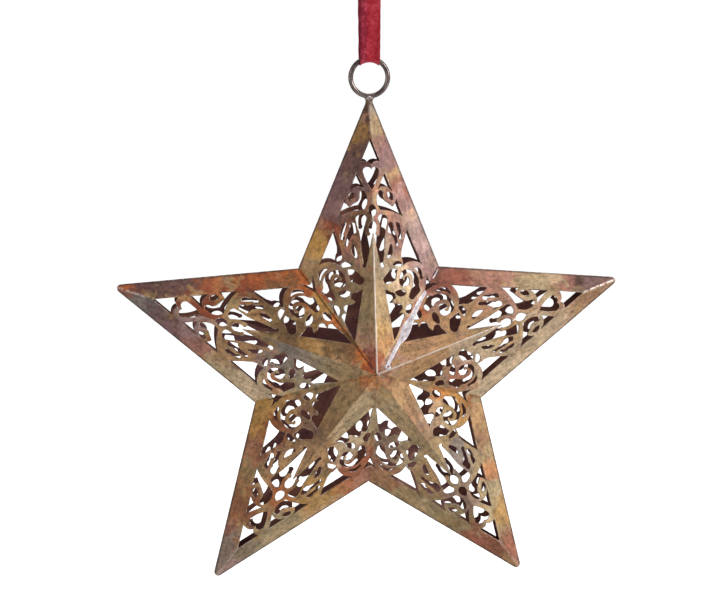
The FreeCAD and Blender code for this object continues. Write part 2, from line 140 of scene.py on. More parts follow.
@dataclass(frozen=True)
class StarSizes:
    """Sizes of the star's sheets and where it hangs, in metres, as the CAD part has them."""

    tip_radius: float = 83.0 * MM
    notch_radius: float = 37.0 * MM
    dome_height: float = 20.0 * MM
    border_width: float = 6.35 * MM
    notch_along_share: float = 0.396
    arm_turn: float = math.radians(72)
    ring_mean_radius: float = 5.6 * MM
    wire_radius: float = 0.75 * MM
    loop_length: float = 36.0 * MM
    ring_sink: float = 1.7 * MM

    @property
    def centre(self) -> Vector:
        """Centre of the star, on the plane where its halves meet."""
        drop = self.loop_length + 2 * self.ring_mean_radius + self.tip_radius - self.ring_sink
        return Vector((0, 0, -drop))

    @property
    def peak(self) -> Vector:
        """Front peak, from the star's centre."""
        return Vector((0, -self.dome_height, 0))

    @property
    def tip(self) -> Vector:
        """Sharp tip of the top arm, from the star's centre."""
        return Vector((0, 0, self.tip_radius))

    @property
    def notch(self) -> Vector:
        """Sharp corner at the right of the top arm, from the star's centre."""
        half = self.arm_turn / 2
        return Vector((self.notch_radius * math.sin(half), 0, self.notch_radius * math.cos(half)))

    def leaf_point(self, across: float, along: float) -> Vector:
        """Find a point on the top front leaf.

        Args:
            across: Share from the ridge (0) to the field's corner (1), negative at the left.
            along: Share from the peak (0) to the field's tip (1).

        Returns:
            The point on the sheet's face, from the star's centre.
        """
        doubled_area = (self.tip - self.peak).cross(self.notch - self.peak).length
        slant = doubled_area / (self.tip - self.notch).length
        share = 1 - self.border_width / slant
        side = abs(across)
        point = self.peak + (self.tip - self.peak) * share * (along - side * self.notch_along_share)
        point += (self.notch - self.peak) * share * side
        return Vector((math.copysign(point.x, across), point.y, point.z))

    def turned(self, point: Vector, arm: int) -> Vector:
        """Turn a point of the top leaf to another arm and set it in the part's frame.

        Args:
            point: Point from the star's centre.
            arm: Number of arms to turn by, clockwise as seen from the front.

        Returns:
            The point in the part's frame.
        """
        return self.centre + Matrix.Rotation(self.arm_turn * arm, 3, "Y") @ point


STAR = StarSizes()


@dataclass(frozen=True)
class Grain:
    """A noise: waves per metre, octaves, strength of the finer octaves, and swirl."""

    scale: float
    octaves: float
    finer: float = 0.55
    swirl: float = 0.0


@dataclass(frozen=True)
class Span:
    """A smooth step between two values, and what it gives at each of them."""

    start: Value
    end: Value
    low: Value = 0.0
    high: Value = 1.0


@dataclass(frozen=True)
class Layer:
    """A noise that is carried through a smooth step."""

    grain: Grain
    span: Span


class Tree:
    """A node tree being built, with short calls for the nodes that the finishes use."""

    def __init__(self, tree: bpy.types.NodeTree) -> None:
        """Keep the tree that the nodes go into."""
        self.tree = tree

    def node(self, kind: str, **settings: object) -> bpy.types.Node:
        """Add a node and set its own properties.

        Args:
            kind: The node's type name.
            settings: Property names and values.

        Returns:
            The new node.
        """
        new = self.tree.nodes.new(kind)
        for name, value in settings.items():
            setattr(new, name, value)
        return new

    def feed(self, socket: Socket, value: Value) -> None:
        """Link a socket, or set its plain value.

        Args:
            socket: The input socket.
            value: Another node's output, or a number, vector or colour.
        """
        if isinstance(value, Socket):
            self.tree.links.new(value, socket)
        else:
            socket.default_value = value

    def math(self, operation: str, first: Value, second: Value = 0.0, third: Value = 0.0,
             clamp: bool = False) -> Socket:
        """Add a Math node.

        Args:
            operation: The node's operation.
            first: First value.
            second: Second value.
            third: Third value, for the operations that have one.
            clamp: Whether the result stays from 0 to 1.

        Returns:
            The result's socket.
        """
        new = self.node("ShaderNodeMath", operation=operation, use_clamp=clamp)
        for socket, value in zip(new.inputs, (first, second, third)):
            self.feed(socket, value)
        return new.outputs["Value"]

    def times(self, first: Value, second: Value) -> Socket:
        """Multiply two values."""
        return self.math("MULTIPLY", first, second)

    def vector(self, operation: str, first: Value, second: Value) -> Sockets:
        """Add a Vector Math node.

        Args:
            operation: The node's operation.
            first: First vector.
            second: Second vector.

        Returns:
            Its outputs, Vector and Value.
        """
        new = self.node("ShaderNodeVectorMath", operation=operation)
        self.feed(new.inputs[0], first)
        self.feed(new.inputs[1], second)
        return new.outputs

    def parts(self, vector: Value) -> Sockets:
        """Take a vector apart.

        Args:
            vector: The vector's socket.

        Returns:
            The outputs X, Y and Z.
        """
        new = self.node("ShaderNodeSeparateXYZ")
        self.feed(new.inputs["Vector"], vector)
        return new.outputs

    def shifted(self, position: Value, step: int) -> Socket:
        """Move a position so that one noise doesn't repeat another.

        Args:
            position: The position's socket.
            step: Which of the shifts.

        Returns:
            The moved position's socket.
        """
        return self.vector("ADD", position, NOISE_SHIFT * step)["Vector"]

    def mix(self, amount: Value, first: Value, second: Value, blend: str = "MIX") -> Socket:
        """Mix two colours.

        Args:
            amount: Share of the second colour.
            first: First colour.
            second: Second colour.
            blend: Blending mode.

        Returns:
            The mixed colour's socket.
        """
        new = self.node("ShaderNodeMix", data_type="RGBA", blend_type=blend)
        self.feed(new.inputs["Factor"], amount)
        self.feed(new.inputs[MIX_FIRST], first)
        self.feed(new.inputs[MIX_SECOND], second)
        return new.outputs[MIX_RESULT]

    def noise(self, position: Value, grain: Grain) -> Socket:
        """Add a Noise texture.

        Args:
            position: Where it is read.
            grain: Its settings.

        Returns:
            The noise value's socket, near NOISE_MEAN on average.
        """
        new = self.node("ShaderNodeTexNoise")
        for name, given in (("Vector", position), ("Scale", grain.scale),
                            ("Detail", grain.octaves), ("Roughness", grain.finer),
                            ("Distortion", grain.swirl)):
            self.feed(new.inputs[name], given)
        return new.outputs["Fac"]

    def noises(self, position: Value, shared: tuple[tuple[Grain, float], ...]) -> Socket:
        """Add up several noises.

        Args:
            position: Where they are read.
            shared: Each noise's settings and its share of the sum.

        Returns:
            The sum's socket.
        """
        total: Value = 0.0
        for grain, share in shared:
            total = self.math("MULTIPLY_ADD", self.noise(position, grain), share, total)
        return total

    def ramp(self, value: Value, span: Span) -> Socket:
        """Carry a value through a smooth step.

        Args:
            value: The value.
            span: Where the step starts and ends, and what it gives there.

        Returns:
            The result's socket.
        """
        new = self.node("ShaderNodeMapRange", interpolation_type="SMOOTHSTEP")
        for name, given in (("Value", value), ("From Min", span.start), ("From Max", span.end),
                            ("To Min", span.low), ("To Max", span.high)):
            self.feed(new.inputs[name], given)
        return new.outputs["Result"]

    def layer(self, position: Value, layer: Layer) -> Socket:
        """Add a noise and carry it through its smooth step."""
        return self.ramp(self.noise(position, layer.grain), layer.span)

    def effect(self, group: "Group", **inputs: Value) -> Sockets:
        """Place a shared effect.

        Args:
            group: The effect.
            inputs: Its inputs by name.

        Returns:
            Its outputs.
        """
        new = self.node("ShaderNodeGroup", node_tree=group.tree)
        for name, value in inputs.items():
            self.feed(new.inputs[name], value)
        return new.outputs


class Kind(Enum):
    """Socket types of the shared effects."""

    NUMBER = "NodeSocketFloat"
    VECTOR = "NodeSocketVector"
    COLOUR = "NodeSocketColor"


class Group(Tree):
    """The node tree of a shared effect, with its own named inputs and results."""

    def __init__(self, name: str, inputs: dict[str, Kind], results: dict[str, Kind]) -> None:
        """Make the tree and its sockets.

        Args:
            name: The group's name.
            inputs: Input names and types.
            results: Names and types of what it puts out.
        """
        super().__init__(bpy.data.node_groups.new(name, "ShaderNodeTree"))
        for direction, sockets in (("INPUT", inputs), ("OUTPUT", results)):
            for socket, kind in sockets.items():
                self.tree.interface.new_socket(
                    name=socket, in_out=direction, socket_type=kind.value)
        self.given = self.node("NodeGroupInput").outputs
        self.results = self.node("NodeGroupOutput").inputs

    def give(self, **results: Value) -> None:
        """Link the group's results by name."""
        for name, value in results.items():
            self.feed(self.results[name], value)


class Effects:
    """Shared shader effects, each a node group that is built once."""

    inside_facing: Span = Span(0.30, 0.55)
    wall_facing: Span = Span(-0.62, -0.35)

    patch_raggedness: float = 3.0
    patch_edge: Span = Span(1.10, 0.55)
    patch_side: Span = Span(-0.2 * MM, 0.2 * MM)

    cloud_grain: Grain = Grain(85, 6, 0.66, 0.6)
    cloud_edge: Span = Span(0.42, 0.60)
    accent_grain: Grain = Grain(190, 7, 0.72, 0.4)
    accent_start: float = 0.74
    accent_spread: float = 0.10
    accent_share: float = 0.9
    tints: tuple[tuple[Tone, Layer], ...] = (
        (Tone.OCHRE, Layer(Grain(300, 7, 0.74, 0.5), Span(0.51, 0.63, 0.0, 0.50))),
        (Tone.MAUVE, Layer(Grain(230, 7, 0.74, 0.5), Span(0.54, 0.66, 0.0, 0.50))),
        (Tone.OLIVE_DARK, Layer(Grain(430, 7, 0.74, 0.5), Span(0.55, 0.67, 0.0, 0.50))),
        (Tone.RUST, Layer(Grain(340, 7, 0.74, 0.5), Span(0.57, 0.69, 0.0, 0.60))))

    crowding: Layer = Layer(Grain(160, 4, 0.7), Span(0.38, 0.66, 0.05, 0.9))
    dots: tuple[Layer, ...] = (
        Layer(Grain(1500, 3, 0.6), Span(0.60, 0.68)),
        Layer(Grain(3100, 3, 0.6), Span(0.57, 0.65)))
    smudges: Layer = Layer(Grain(620, 5, 0.75), Span(0.60, 0.74, 0.0, 0.6))

    streak_stretch: Vector = Vector((1.0, 1.0, 0.16))
    streak: Layer = Layer(Grain(900, 4, 0.6), Span(0.34, 0.66, -0.15, 0.13))
    mottle: Layer = Layer(Grain(800, 6, 0.76), Span(0.36, 0.64, -0.26, 0.20))
    broad: Layer = Layer(Grain(190, 4, 0.6), Span(0.36, 0.64, 0.82, 1.14))

    dents: tuple[tuple[Grain, float], ...] = (
        (Grain(120, 2, 0.5), 0.30), (Grain(420, 3, 0.55), 0.085), (Grain(3200, 2, 0.6), 0.014))
    pit_depth: float = 0.02

    def __init__(self) -> None:
        """Build every effect."""
        self.leaf_place = self._leaf_place()
        self.blotch = self._blotch()
        self.clouds = self._clouds()
        self.speckle = self._speckle()
        self.streaks = self._streaks()
        self.relief = self._relief()

    def _leaf_place(self) -> Group:
        """Distances to a leaf's ridge, rim and valleys, and which face of the sheet it is.

        Returns:
            The effect.
        """
        group = Group(
            "LeafPlace",
            {"Position": Kind.VECTOR, "Normal": Kind.VECTOR, "Turn": Kind.NUMBER,
             "Side": Kind.NUMBER},
            {"Ridge": Kind.NUMBER, "Rim": Kind.NUMBER, "Valley": Kind.NUMBER,
             "Radius": Kind.NUMBER, "Inside": Kind.NUMBER, "Wall": Kind.NUMBER,
             "Place": Kind.VECTOR, "Across": Kind.NUMBER})
        centred = group.vector("SUBTRACT", group.given["Position"], STAR.centre)
        turn = group.node("ShaderNodeVectorRotate", rotation_type="Y_AXIS")
        group.feed(turn.inputs["Vector"], centred["Vector"])
        group.feed(turn.inputs["Angle"], group.times(group.given["Turn"], -1.0))
        place = turn.outputs["Vector"]
        parts = group.parts(place)
        ridge = group.math("ABSOLUTE", parts["X"])
        rim = (STAR.tip - STAR.notch).normalized()
        rim_out = Vector((rim.z, 0, -rim.x))
        outward = group.times(ridge, rim_out.x)
        outward = group.math("MULTIPLY_ADD", parts["Z"], rim_out.z, outward)
        half = STAR.arm_turn / 2
        valley = group.times(parts["Z"], math.sin(half))
        valley = group.math("MULTIPLY_ADD", ridge, -math.cos(half), valley)
        facing = group.parts(group.given["Normal"])
        inward = group.times(facing["Y"], group.given["Side"])
        group.give(
            Ridge=ridge, Rim=group.math("SUBTRACT", rim_out.dot(STAR.tip), outward),
            Valley=group.math("ABSOLUTE", valley),
            Radius=group.vector("LENGTH", place, Vector())["Value"],
            Inside=group.ramp(inward, self.inside_facing),
            Wall=group.ramp(inward, self.wall_facing), Place=place, Across=parts["X"])
        return group

    def _blotch(self) -> Group:
        """One ragged patch of another tone, on both sides of the ridge or on one.

        Returns:
            The effect.
        """
        group = Group(
            "PatinaBlotch",
            {"Colour": Kind.COLOUR, "Tone": Kind.COLOUR, "Position": Kind.VECTOR,
             "Centre": Kind.VECTOR, "Reach": Kind.NUMBER, "Ragged": Kind.NUMBER,
             "Strength": Kind.NUMBER, "Across": Kind.NUMBER, "Way": Kind.NUMBER},
            {"Colour": Kind.COLOUR})
        given = group.given
        away = group.vector("DISTANCE", given["Position"], given["Centre"])["Value"]
        ragged = group.math("SUBTRACT", given["Ragged"], NOISE_MEAN)
        share = group.math("MULTIPLY_ADD", ragged, self.patch_raggedness,
                           group.math("DIVIDE", away, given["Reach"]))
        one_side = group.ramp(group.times(given["Across"], given["Way"]), self.patch_side)
        both_sides = group.math("SUBTRACT", 1.0, group.math("ABSOLUTE", given["Way"]))
        mask = group.times(group.ramp(share, self.patch_edge),
                           group.math("MAXIMUM", one_side, both_sides))
        amount = group.math("MULTIPLY", mask, given["Strength"], clamp=True)
        group.give(Colour=group.mix(amount, given["Colour"], given["Tone"]))
        return group

    def _clouds(self) -> Group:
        """Cloudy mix of a leaf's three tones and of the tints that all leaves share.

        Returns:
            The effect.
        """
        group = Group(
            "PatinaClouds",
            {"Position": Kind.VECTOR, "Main": Kind.COLOUR, "Second": Kind.COLOUR,
             "Accent": Kind.COLOUR, "Level": Kind.NUMBER},
            {"Colour": Kind.COLOUR, "Cloud": Kind.NUMBER})
        given = group.given
        position = given["Position"]
        cloud = group.noise(position, self.cloud_grain)
        colour = group.mix(group.ramp(cloud, self.cloud_edge), given["Main"], given["Second"])
        accent = group.noise(group.shifted(position, 1), self.accent_grain)
        level = group.math("SUBTRACT", self.accent_start, given["Level"])
        edge = group.math("ADD", level, self.accent_spread)
        amount = group.ramp(accent, Span(level, edge, 0.0, self.accent_share))
        colour = group.mix(amount, colour, given["Accent"])
        for step, (tone, layer) in enumerate(self.tints, start=2):
            amount = group.layer(group.shifted(position, step), layer)
            colour = group.mix(amount, colour, tone.rgba)
        group.give(Colour=colour, Cloud=cloud)
        return group

    def _speckle(self) -> Group:
        """Dark oxide freckles: fine dots that crowd together in places, and a few smudges.

        Returns:
            The effect.
        """
        group = Group("OxideSpeckle", {"Position": Kind.VECTOR, "Amount": Kind.NUMBER},
                      {"Mask": Kind.NUMBER})
        position = group.given["Position"]
        density = group.times(group.layer(position, self.crowding), group.given["Amount"])
        total: Value = 0.0
        for layer in self.dots:
            total = group.math("MULTIPLY_ADD", group.layer(position, layer), density, total)
        smudge = group.times(group.layer(position, self.smudges), density)
        group.give(Mask=group.math("ADD", total, smudge, clamp=True))
        return group

    def _streaks(self) -> Group:
        """Soft light and dark streaks along the arm, and a fine mottle.

        Returns:
            The effect.
        """
        group = Group("RubbedStreaks", {"Place": Kind.VECTOR}, {"Shade": Kind.NUMBER})
        place = group.given["Place"]
        drawn = group.vector("MULTIPLY", place, self.streak_stretch)["Vector"]
        fine = group.math("ADD", group.layer(drawn, self.streak), group.layer(place, self.mottle))
        group.give(Shade=group.math("ADD", fine, group.layer(place, self.broad)))
        return group

    def _relief(self) -> Group:
        """Height of the dented, grained and pitted sheet.

        Returns:
            The effect.
        """
        group = Group("SheetRelief", {"Position": Kind.VECTOR, "Speckle": Kind.NUMBER},
                      {"Height": Kind.NUMBER})
        height = group.noises(group.given["Position"], self.dents)
        group.give(Height=group.math("MULTIPLY_ADD", group.given["Speckle"], -self.pit_depth,
                                     height))
        return group


class Finish:
    """Base of the finishes: makes a material with one Principled shader."""

    def blank(self, name: str, metallic: float,
              specular: float = 0.5) -> tuple[bpy.types.Material, Tree, bpy.types.Node]:
        """Start a material.

        Args:
            name: The material's name.
            metallic: How metallic its shader is.
            specular: Its specular level.

        Returns:
            The material, its tree and its shader node.
        """
        material = bpy.data.materials.new(name)
        material.use_nodes = True
        shader = material.node_tree.nodes["Principled BSDF"]
        shader.inputs["Metallic"].default_value = metallic
        shader.inputs["Specular IOR Level"].default_value = specular
        return material, Tree(material.node_tree), shader

    def bump(self, tree: Tree, shader: bpy.types.Node, height: Value, strength: float) -> None:
        """Give the shader a bump.

        Args:
            tree: The material's tree.
            shader: Its shader.
            height: Height's socket, in mm.
            strength: Share of the bump.
        """
        node = tree.node("ShaderNodeBump")
        node.inputs["Strength"].default_value = strength
        node.inputs["Distance"].default_value = 1.0 * MM
        tree.feed(node.inputs["Height"], height)
        tree.feed(shader.inputs["Normal"], node.outputs["Normal"])


class RidgeWearAndHighlight(Enum):
    """Where an arm's ridge is rubbed bare and carries a painted highlight, in mm from the star's
    centre, and how strongly.
    """

    BRIGHT = (18.0, 46.0, 0.95)
    FAINT = (30.0, 40.0, 0.1)
    BACK_TOP = (24.0, 60.0, 0.4)
    BACK = (24.0, 60.0, 0.3)


@dataclass(frozen=True)
class Blotch:
    """A patch of patina on a leaf, centred at shares across and along it."""

    across: float
    along: float
    reach_mm: float
    tone: Tone
    strength: float


@dataclass(frozen=True)
class LeafWearAndPaintedLight:
    """Wear, and painted shade and highlights, that all leaves share.

    A span over a leaf's distances is in metres. Where each leaf has its own strength, the span
    here gives the places only. A span named for breaks is over a noise and interrupts a line.
    The tongue is the bare strip along the ridge near the peak, where the freckles crowd.
    """

    metallic: float = 0.45
    warmth: tuple[float, float, float] = (1.06, 1.0, 0.985)
    ragged: Grain = Grain(210, 5, 0.65)
    mottled: Grain = Grain(760, 3, 0.6)
    tongue_across: Span = Span(9.5 * MM, 6.0 * MM)
    tongue_along: Span = Span(54 * MM, 34 * MM)
    tongue_speckle: float = 0.6
    plain_speckle: float = 0.55
    speckle_dark: float = 0.78
    # Dark rim line: edge wear with painted shade; the outline is painted shade along the rim.
    rim: Span = Span(1.3 * MM, 0.5 * MM, 0.0, 0.6)
    rim_wear_and_shade_breaks: Span = Span(0.38, 0.60)
    outline: Span = Span(0.95 * MM, 0.62 * MM, 0.0, 0.8)
    rim_shade_outline_breaks: Span = Span(0.34, 0.50, 0.35, 1.0)
    # Dark valley line: the seam's joint with painted shade in the groove.
    valley: Span = Span(0.26 * MM, 0.10 * MM)
    valley_breaks: Span = Span(0.38, 0.56, 0.35, 1.0)
    burnt_edge: Span = Span(0.56, 0.44, 0.0, 0.55)
    # Opening edges painted lighter: bare metal with a painted highlight.
    bare_and_highlit_edge: Span = Span(0.46, 0.58, 0.0, 0.7)
    # Ridge and tip-fold lines: bare metal painted lighter, partly as a painted highlight.
    ridge: Span = Span(0.34 * MM, 0.14 * MM)
    ridge_breaks: Span = Span(0.28, 0.50)
    ridge_fade_in_mm: float = 3.0
    ridge_fade_out_mm: float = 8.0
    tip_fold: Span = Span(0.48 * MM, 0.24 * MM)
    tip_fold_along: Span = Span(66 * MM, 68 * MM)
    tip_fold_breaks: Span = Span(0.40, 0.52)
    wall_mix: Span = Span(0.4, 0.6)
    inside_mix: Span = Span(0.38, 0.62)
    rough: Span = Span(0.3, 0.7, 0.38, 0.52)
    speckle_rough: float = 0.2
    wear_and_highlight_rough: float = -0.12
    bump_share: float = 0.9


LEAF_WEAR_AND_LIGHT = LeafWearAndPaintedLight()


@dataclass(frozen=True)
class LeafPatina(Finish):
    """Patinated tin of one leaf, from its three tones, its patches, and its own wear with painted
    highlight and shade.
    """

    main: Tone
    second: Tone
    accent: Tone
    accent_level: float = 0.16
    speckle: float = 1.2
    ridge: RidgeWearAndHighlight = RidgeWearAndHighlight.BACK
    tip_wear_and_highlight: float = 0.3
    # Strength of the valley line: dark seam with painted shade.
    seam_and_shade_level: float = 0.3
    blotches: tuple[Blotch, ...] = ()

    def material(self, effects: Effects, name: str, arm: int, front: bool) -> bpy.types.Material:
        """Make the leaf's material.

        Args:
            effects: The shared effects.
            name: The material's name.
            arm: The leaf's arm, counted from the top one.
            front: Whether it is a front leaf.

        Returns:
            The material.
        """
        material, tree, shader = self.blank(name, LEAF_WEAR_AND_LIGHT.metallic)
        paint = LeafPaint(self, effects, tree, arm, front)
        tree.feed(shader.inputs["Base Color"], paint.base_colour())
        tree.feed(shader.inputs["Roughness"], paint.roughness())
        relief = tree.effect(effects.relief, Position=paint.position, Speckle=paint.speckle)
        self.bump(tree, shader, relief["Height"], LEAF_WEAR_AND_LIGHT.bump_share)
        return material


class LeafPaint:
    """Nodes of one leaf's material: its masks, and its colour laid layer upon layer."""

    def __init__(self, patina: LeafPatina, effects: Effects, tree: Tree, arm: int,
                 front: bool) -> None:
        """Make the masks, and start the colour with the leaf's clouds.

        Args:
            patina: The leaf's patina.
            effects: The shared effects.
            tree: The material's tree.
            arm: The leaf's arm, counted from the top one.
            front: Whether it is a front leaf.
        """
        self.patina, self.effects, self.tree, self.arm = patina, effects, tree, arm
        places = tree.node("ShaderNodeTexCoord").outputs
        self.position = places["Object"]
        self.leaf = tree.effect(
            effects.leaf_place, Position=self.position, Normal=places["Normal"],
            Turn=STAR.arm_turn * arm, Side=1.0 if front else -1.0)
        clouds = tree.effect(
            effects.clouds, Position=self.position, Main=patina.main.rgba,
            Second=patina.second.rgba, Accent=patina.accent.rgba, Level=patina.accent_level)
        self.colour, self.cloud = clouds["Colour"], clouds["Cloud"]
        self.ragged = tree.noise(self.position, LEAF_WEAR_AND_LIGHT.ragged)
        self.mottled = tree.noise(self.position, LEAF_WEAR_AND_LIGHT.mottled)
        self.edge = tree.node("ShaderNodeAttribute", attribute_name="edge").outputs["Fac"]
        self.speckle = self._speckle()
        self.dark = tree.times(self.speckle, LEAF_WEAR_AND_LIGHT.speckle_dark)
        # Mask of bare metal with a painted highlight on the ridge and the tip's fold.
        self.worn = self._wear_and_highlight()

    def base_colour(self) -> Socket:
        """Lay every layer of the colour.

        Returns:
            The colour's socket.
        """
        self._patches()
        self._streaks()
        self._lay(self.dark, Tone.CHAR)
        self._painted_shade_lines()
        self._lay(self.tree.times(self.edge, self.tree.ramp(self.ragged, LEAF_WEAR_AND_LIGHT.burnt_edge)),
                  Tone.UMBER)
        # Painted highlight and bare metal on the rounded opening edges.
        self._lay(self.tree.times(self.edge, self.tree.ramp(self.mottled, LEAF_WEAR_AND_LIGHT.bare_and_highlit_edge)),
                  Tone.WORN_METAL_AND_HIGHLIGHT)
        # Painted highlight and bare metal along the ridge and the tip's fold.
        self._lay(self.worn, Tone.WORN_METAL_AND_HIGHLIGHT)
        self._walls_and_inside()
        return self.colour

    def roughness(self) -> Socket:
        """Rougher where it is freckled, smoother where it is rubbed bare under the painted
        highlight.

        Returns:
            The roughness's socket.
        """
        rough = self.tree.ramp(self.cloud, LEAF_WEAR_AND_LIGHT.rough)
        rough = self.tree.math("MULTIPLY_ADD", self.speckle, LEAF_WEAR_AND_LIGHT.speckle_rough, rough)
        return self.tree.math("MULTIPLY_ADD", self.worn, LEAF_WEAR_AND_LIGHT.wear_and_highlight_rough, rough, clamp=True)

    def _lay(self, amount: Value, tone: Tone) -> None:
        """Lay a tone over the colour so far."""
        self.colour = self.tree.mix(amount, self.colour, tone.rgba)

    def _line(self, distance: str, across: Span, noise: Socket, breaks: Span) -> Socket:
        """Make the mask of a broken line along one of the leaf's edges.

        Args:
            distance: Which of the leaf's distances it follows.
            across: The line's profile over that distance.
            noise: The noise that breaks it up.
            breaks: The breaks' span over that noise.

        Returns:
            The mask's socket.
        """
        return self.tree.times(self.tree.ramp(self.leaf[distance], across),
                               self.tree.ramp(noise, breaks))

    def _speckle(self) -> Socket:
        """Make the freckles' mask, densest along the ridge near the peak.

        Returns:
            The mask's socket.
        """
        tree, strength = self.tree, self.patina.speckle
        tongue = tree.times(tree.ramp(self.leaf["Ridge"], LEAF_WEAR_AND_LIGHT.tongue_across),
                            tree.ramp(self.leaf["Radius"], LEAF_WEAR_AND_LIGHT.tongue_along))
        amount = tree.math("MULTIPLY_ADD", tongue, strength * LEAF_WEAR_AND_LIGHT.tongue_speckle,
                           strength * LEAF_WEAR_AND_LIGHT.plain_speckle)
        return tree.effect(self.effects.speckle, Position=self.position, Amount=amount)["Mask"]

    def _wear_and_highlight(self) -> Socket:
        """Make the mask of bare metal and painted highlight on the ridge and on the fold at the
        tip.

        Returns:
            The mask's socket.
        """
        tree, radius = self.tree, self.leaf["Radius"]
        start_mm, end_mm, level = self.patina.ridge.value
        fade_in = Span((start_mm - LEAF_WEAR_AND_LIGHT.ridge_fade_in_mm) * MM, start_mm * MM)
        fade_out = Span((end_mm + LEAF_WEAR_AND_LIGHT.ridge_fade_out_mm) * MM, end_mm * MM)
        ridge = self._line("Ridge", replace(LEAF_WEAR_AND_LIGHT.ridge, high=level), self.ragged,
                           LEAF_WEAR_AND_LIGHT.ridge_breaks)
        ridge = tree.times(ridge, tree.times(tree.ramp(radius, fade_in),
                                             tree.ramp(radius, fade_out)))
        fold = self._line("Ridge", replace(LEAF_WEAR_AND_LIGHT.tip_fold, high=self.patina.tip_wear_and_highlight),
                          self.mottled, LEAF_WEAR_AND_LIGHT.tip_fold_breaks)
        fold = tree.times(fold, tree.ramp(radius, LEAF_WEAR_AND_LIGHT.tip_fold_along))
        return tree.math("MAXIMUM", ridge, fold)

    def _patches(self) -> None:
        """Lay the leaf's own patches of patina."""
        for blotch in self.patina.blotches:
            centre = STAR.turned(STAR.leaf_point(blotch.across, blotch.along), self.arm)
            patch = self.tree.effect(
                self.effects.blotch, Colour=self.colour, Tone=blotch.tone.rgba,
                Position=self.position, Centre=centre, Reach=blotch.reach_mm * MM,
                Ragged=self.ragged, Strength=blotch.strength, Across=self.leaf["Across"],
                Way=math.copysign(1.0, blotch.across) if blotch.across else 0.0)
            self.colour = patch["Colour"]

    def _streaks(self) -> None:
        """Multiply the colour by the rubbed streaks, which are a little warmer than grey."""
        shade = self.tree.effect(self.effects.streaks, Place=self.leaf["Place"])["Shade"]
        warm = self.tree.node("ShaderNodeCombineColor")
        for socket, share in zip(warm.inputs, LEAF_WEAR_AND_LIGHT.warmth):
            self.tree.feed(socket, self.tree.times(shade, share))
        self.colour = self.tree.mix(1.0, self.colour, warm.outputs["Color"], "MULTIPLY")

    def _painted_shade_lines(self) -> None:
        """Paint shade along the rim, over some edge wear, and along the valley's seam line."""
        # Painted shade and edge wear along the rim.
        rim = self._line("Rim", LEAF_WEAR_AND_LIGHT.rim, self.ragged, LEAF_WEAR_AND_LIGHT.rim_wear_and_shade_breaks)
        outline = self._line("Rim", LEAF_WEAR_AND_LIGHT.outline, self.ragged, LEAF_WEAR_AND_LIGHT.rim_shade_outline_breaks)
        self._lay(self.tree.math("MAXIMUM", rim, outline), Tone.CHAR)
        # Painted shade with the dark seam along the valley.
        valley = replace(LEAF_WEAR_AND_LIGHT.valley, high=self.patina.seam_and_shade_level)
        self._lay(self._line("Valley", valley, self.ragged, LEAF_WEAR_AND_LIGHT.valley_breaks), Tone.CHAR)

    def _walls_and_inside(self) -> None:
        """Darken the walls of the openings, and turn the sheet's inner face brown."""
        tree = self.tree
        wall = tree.mix(tree.ramp(self.ragged, LEAF_WEAR_AND_LIGHT.wall_mix), Tone.WALL_BROWN.rgba,
                        Tone.UMBER.rgba)
        self.colour = tree.mix(self.leaf["Wall"], self.colour, wall)
        inside = tree.mix(tree.ramp(self.cloud, LEAF_WEAR_AND_LIGHT.inside_mix), Tone.INSIDE_BROWN.rgba,
                          Tone.INSIDE_PLUM.rgba)
        inside = tree.mix(self.dark, inside, Tone.CHAR.rgba)
        self.colour = tree.mix(self.leaf["Inside"], self.colour, inside)


@dataclass(frozen=True)
class MetalFinish(Finish):
    """Plain worn metal of the wire and the solder.

    Its two tones lie in clouds, and its roughness goes between two values from one level of
    the clouds to another.
    """

    main: Tone
    shade: Tone
    metallic: float
    rough: tuple[float, float]
    cloud: Grain
    pitting: float
    bump_share: float = 0.8
    shade_edge: Span = Span(0.38, 0.64)
    rough_cloud: tuple[float, float] = (0.3, 0.7)
    pit_dark: float = 0.6
    dents: tuple[tuple[Grain, float], ...] = ((Grain(900, 3), 0.12), (Grain(4200, 2), 0.03))

    def material(self, effects: Effects, name: str) -> bpy.types.Material:
        """Make the metal's material.

        Args:
            effects: The shared effects.
            name: The material's name.

        Returns:
            The material.
        """
        material, tree, shader = self.blank(name, self.metallic)
        position = tree.node("ShaderNodeTexCoord").outputs["Object"]
        cloud = tree.noise(position, self.cloud)
        colour = tree.mix(tree.ramp(cloud, self.shade_edge), self.main.rgba, self.shade.rgba)
        pits = tree.effect(effects.speckle, Position=position, Amount=self.pitting)["Mask"]
        colour = tree.mix(tree.times(pits, self.pit_dark), colour, Tone.UMBER.rgba)
        tree.feed(shader.inputs["Base Color"], colour)
        tree.feed(shader.inputs["Roughness"],
                  tree.ramp(cloud, Span(*self.rough_cloud, *self.rough)))
        self.bump(tree, shader, tree.noises(position, self.dents), self.bump_share)
        return material


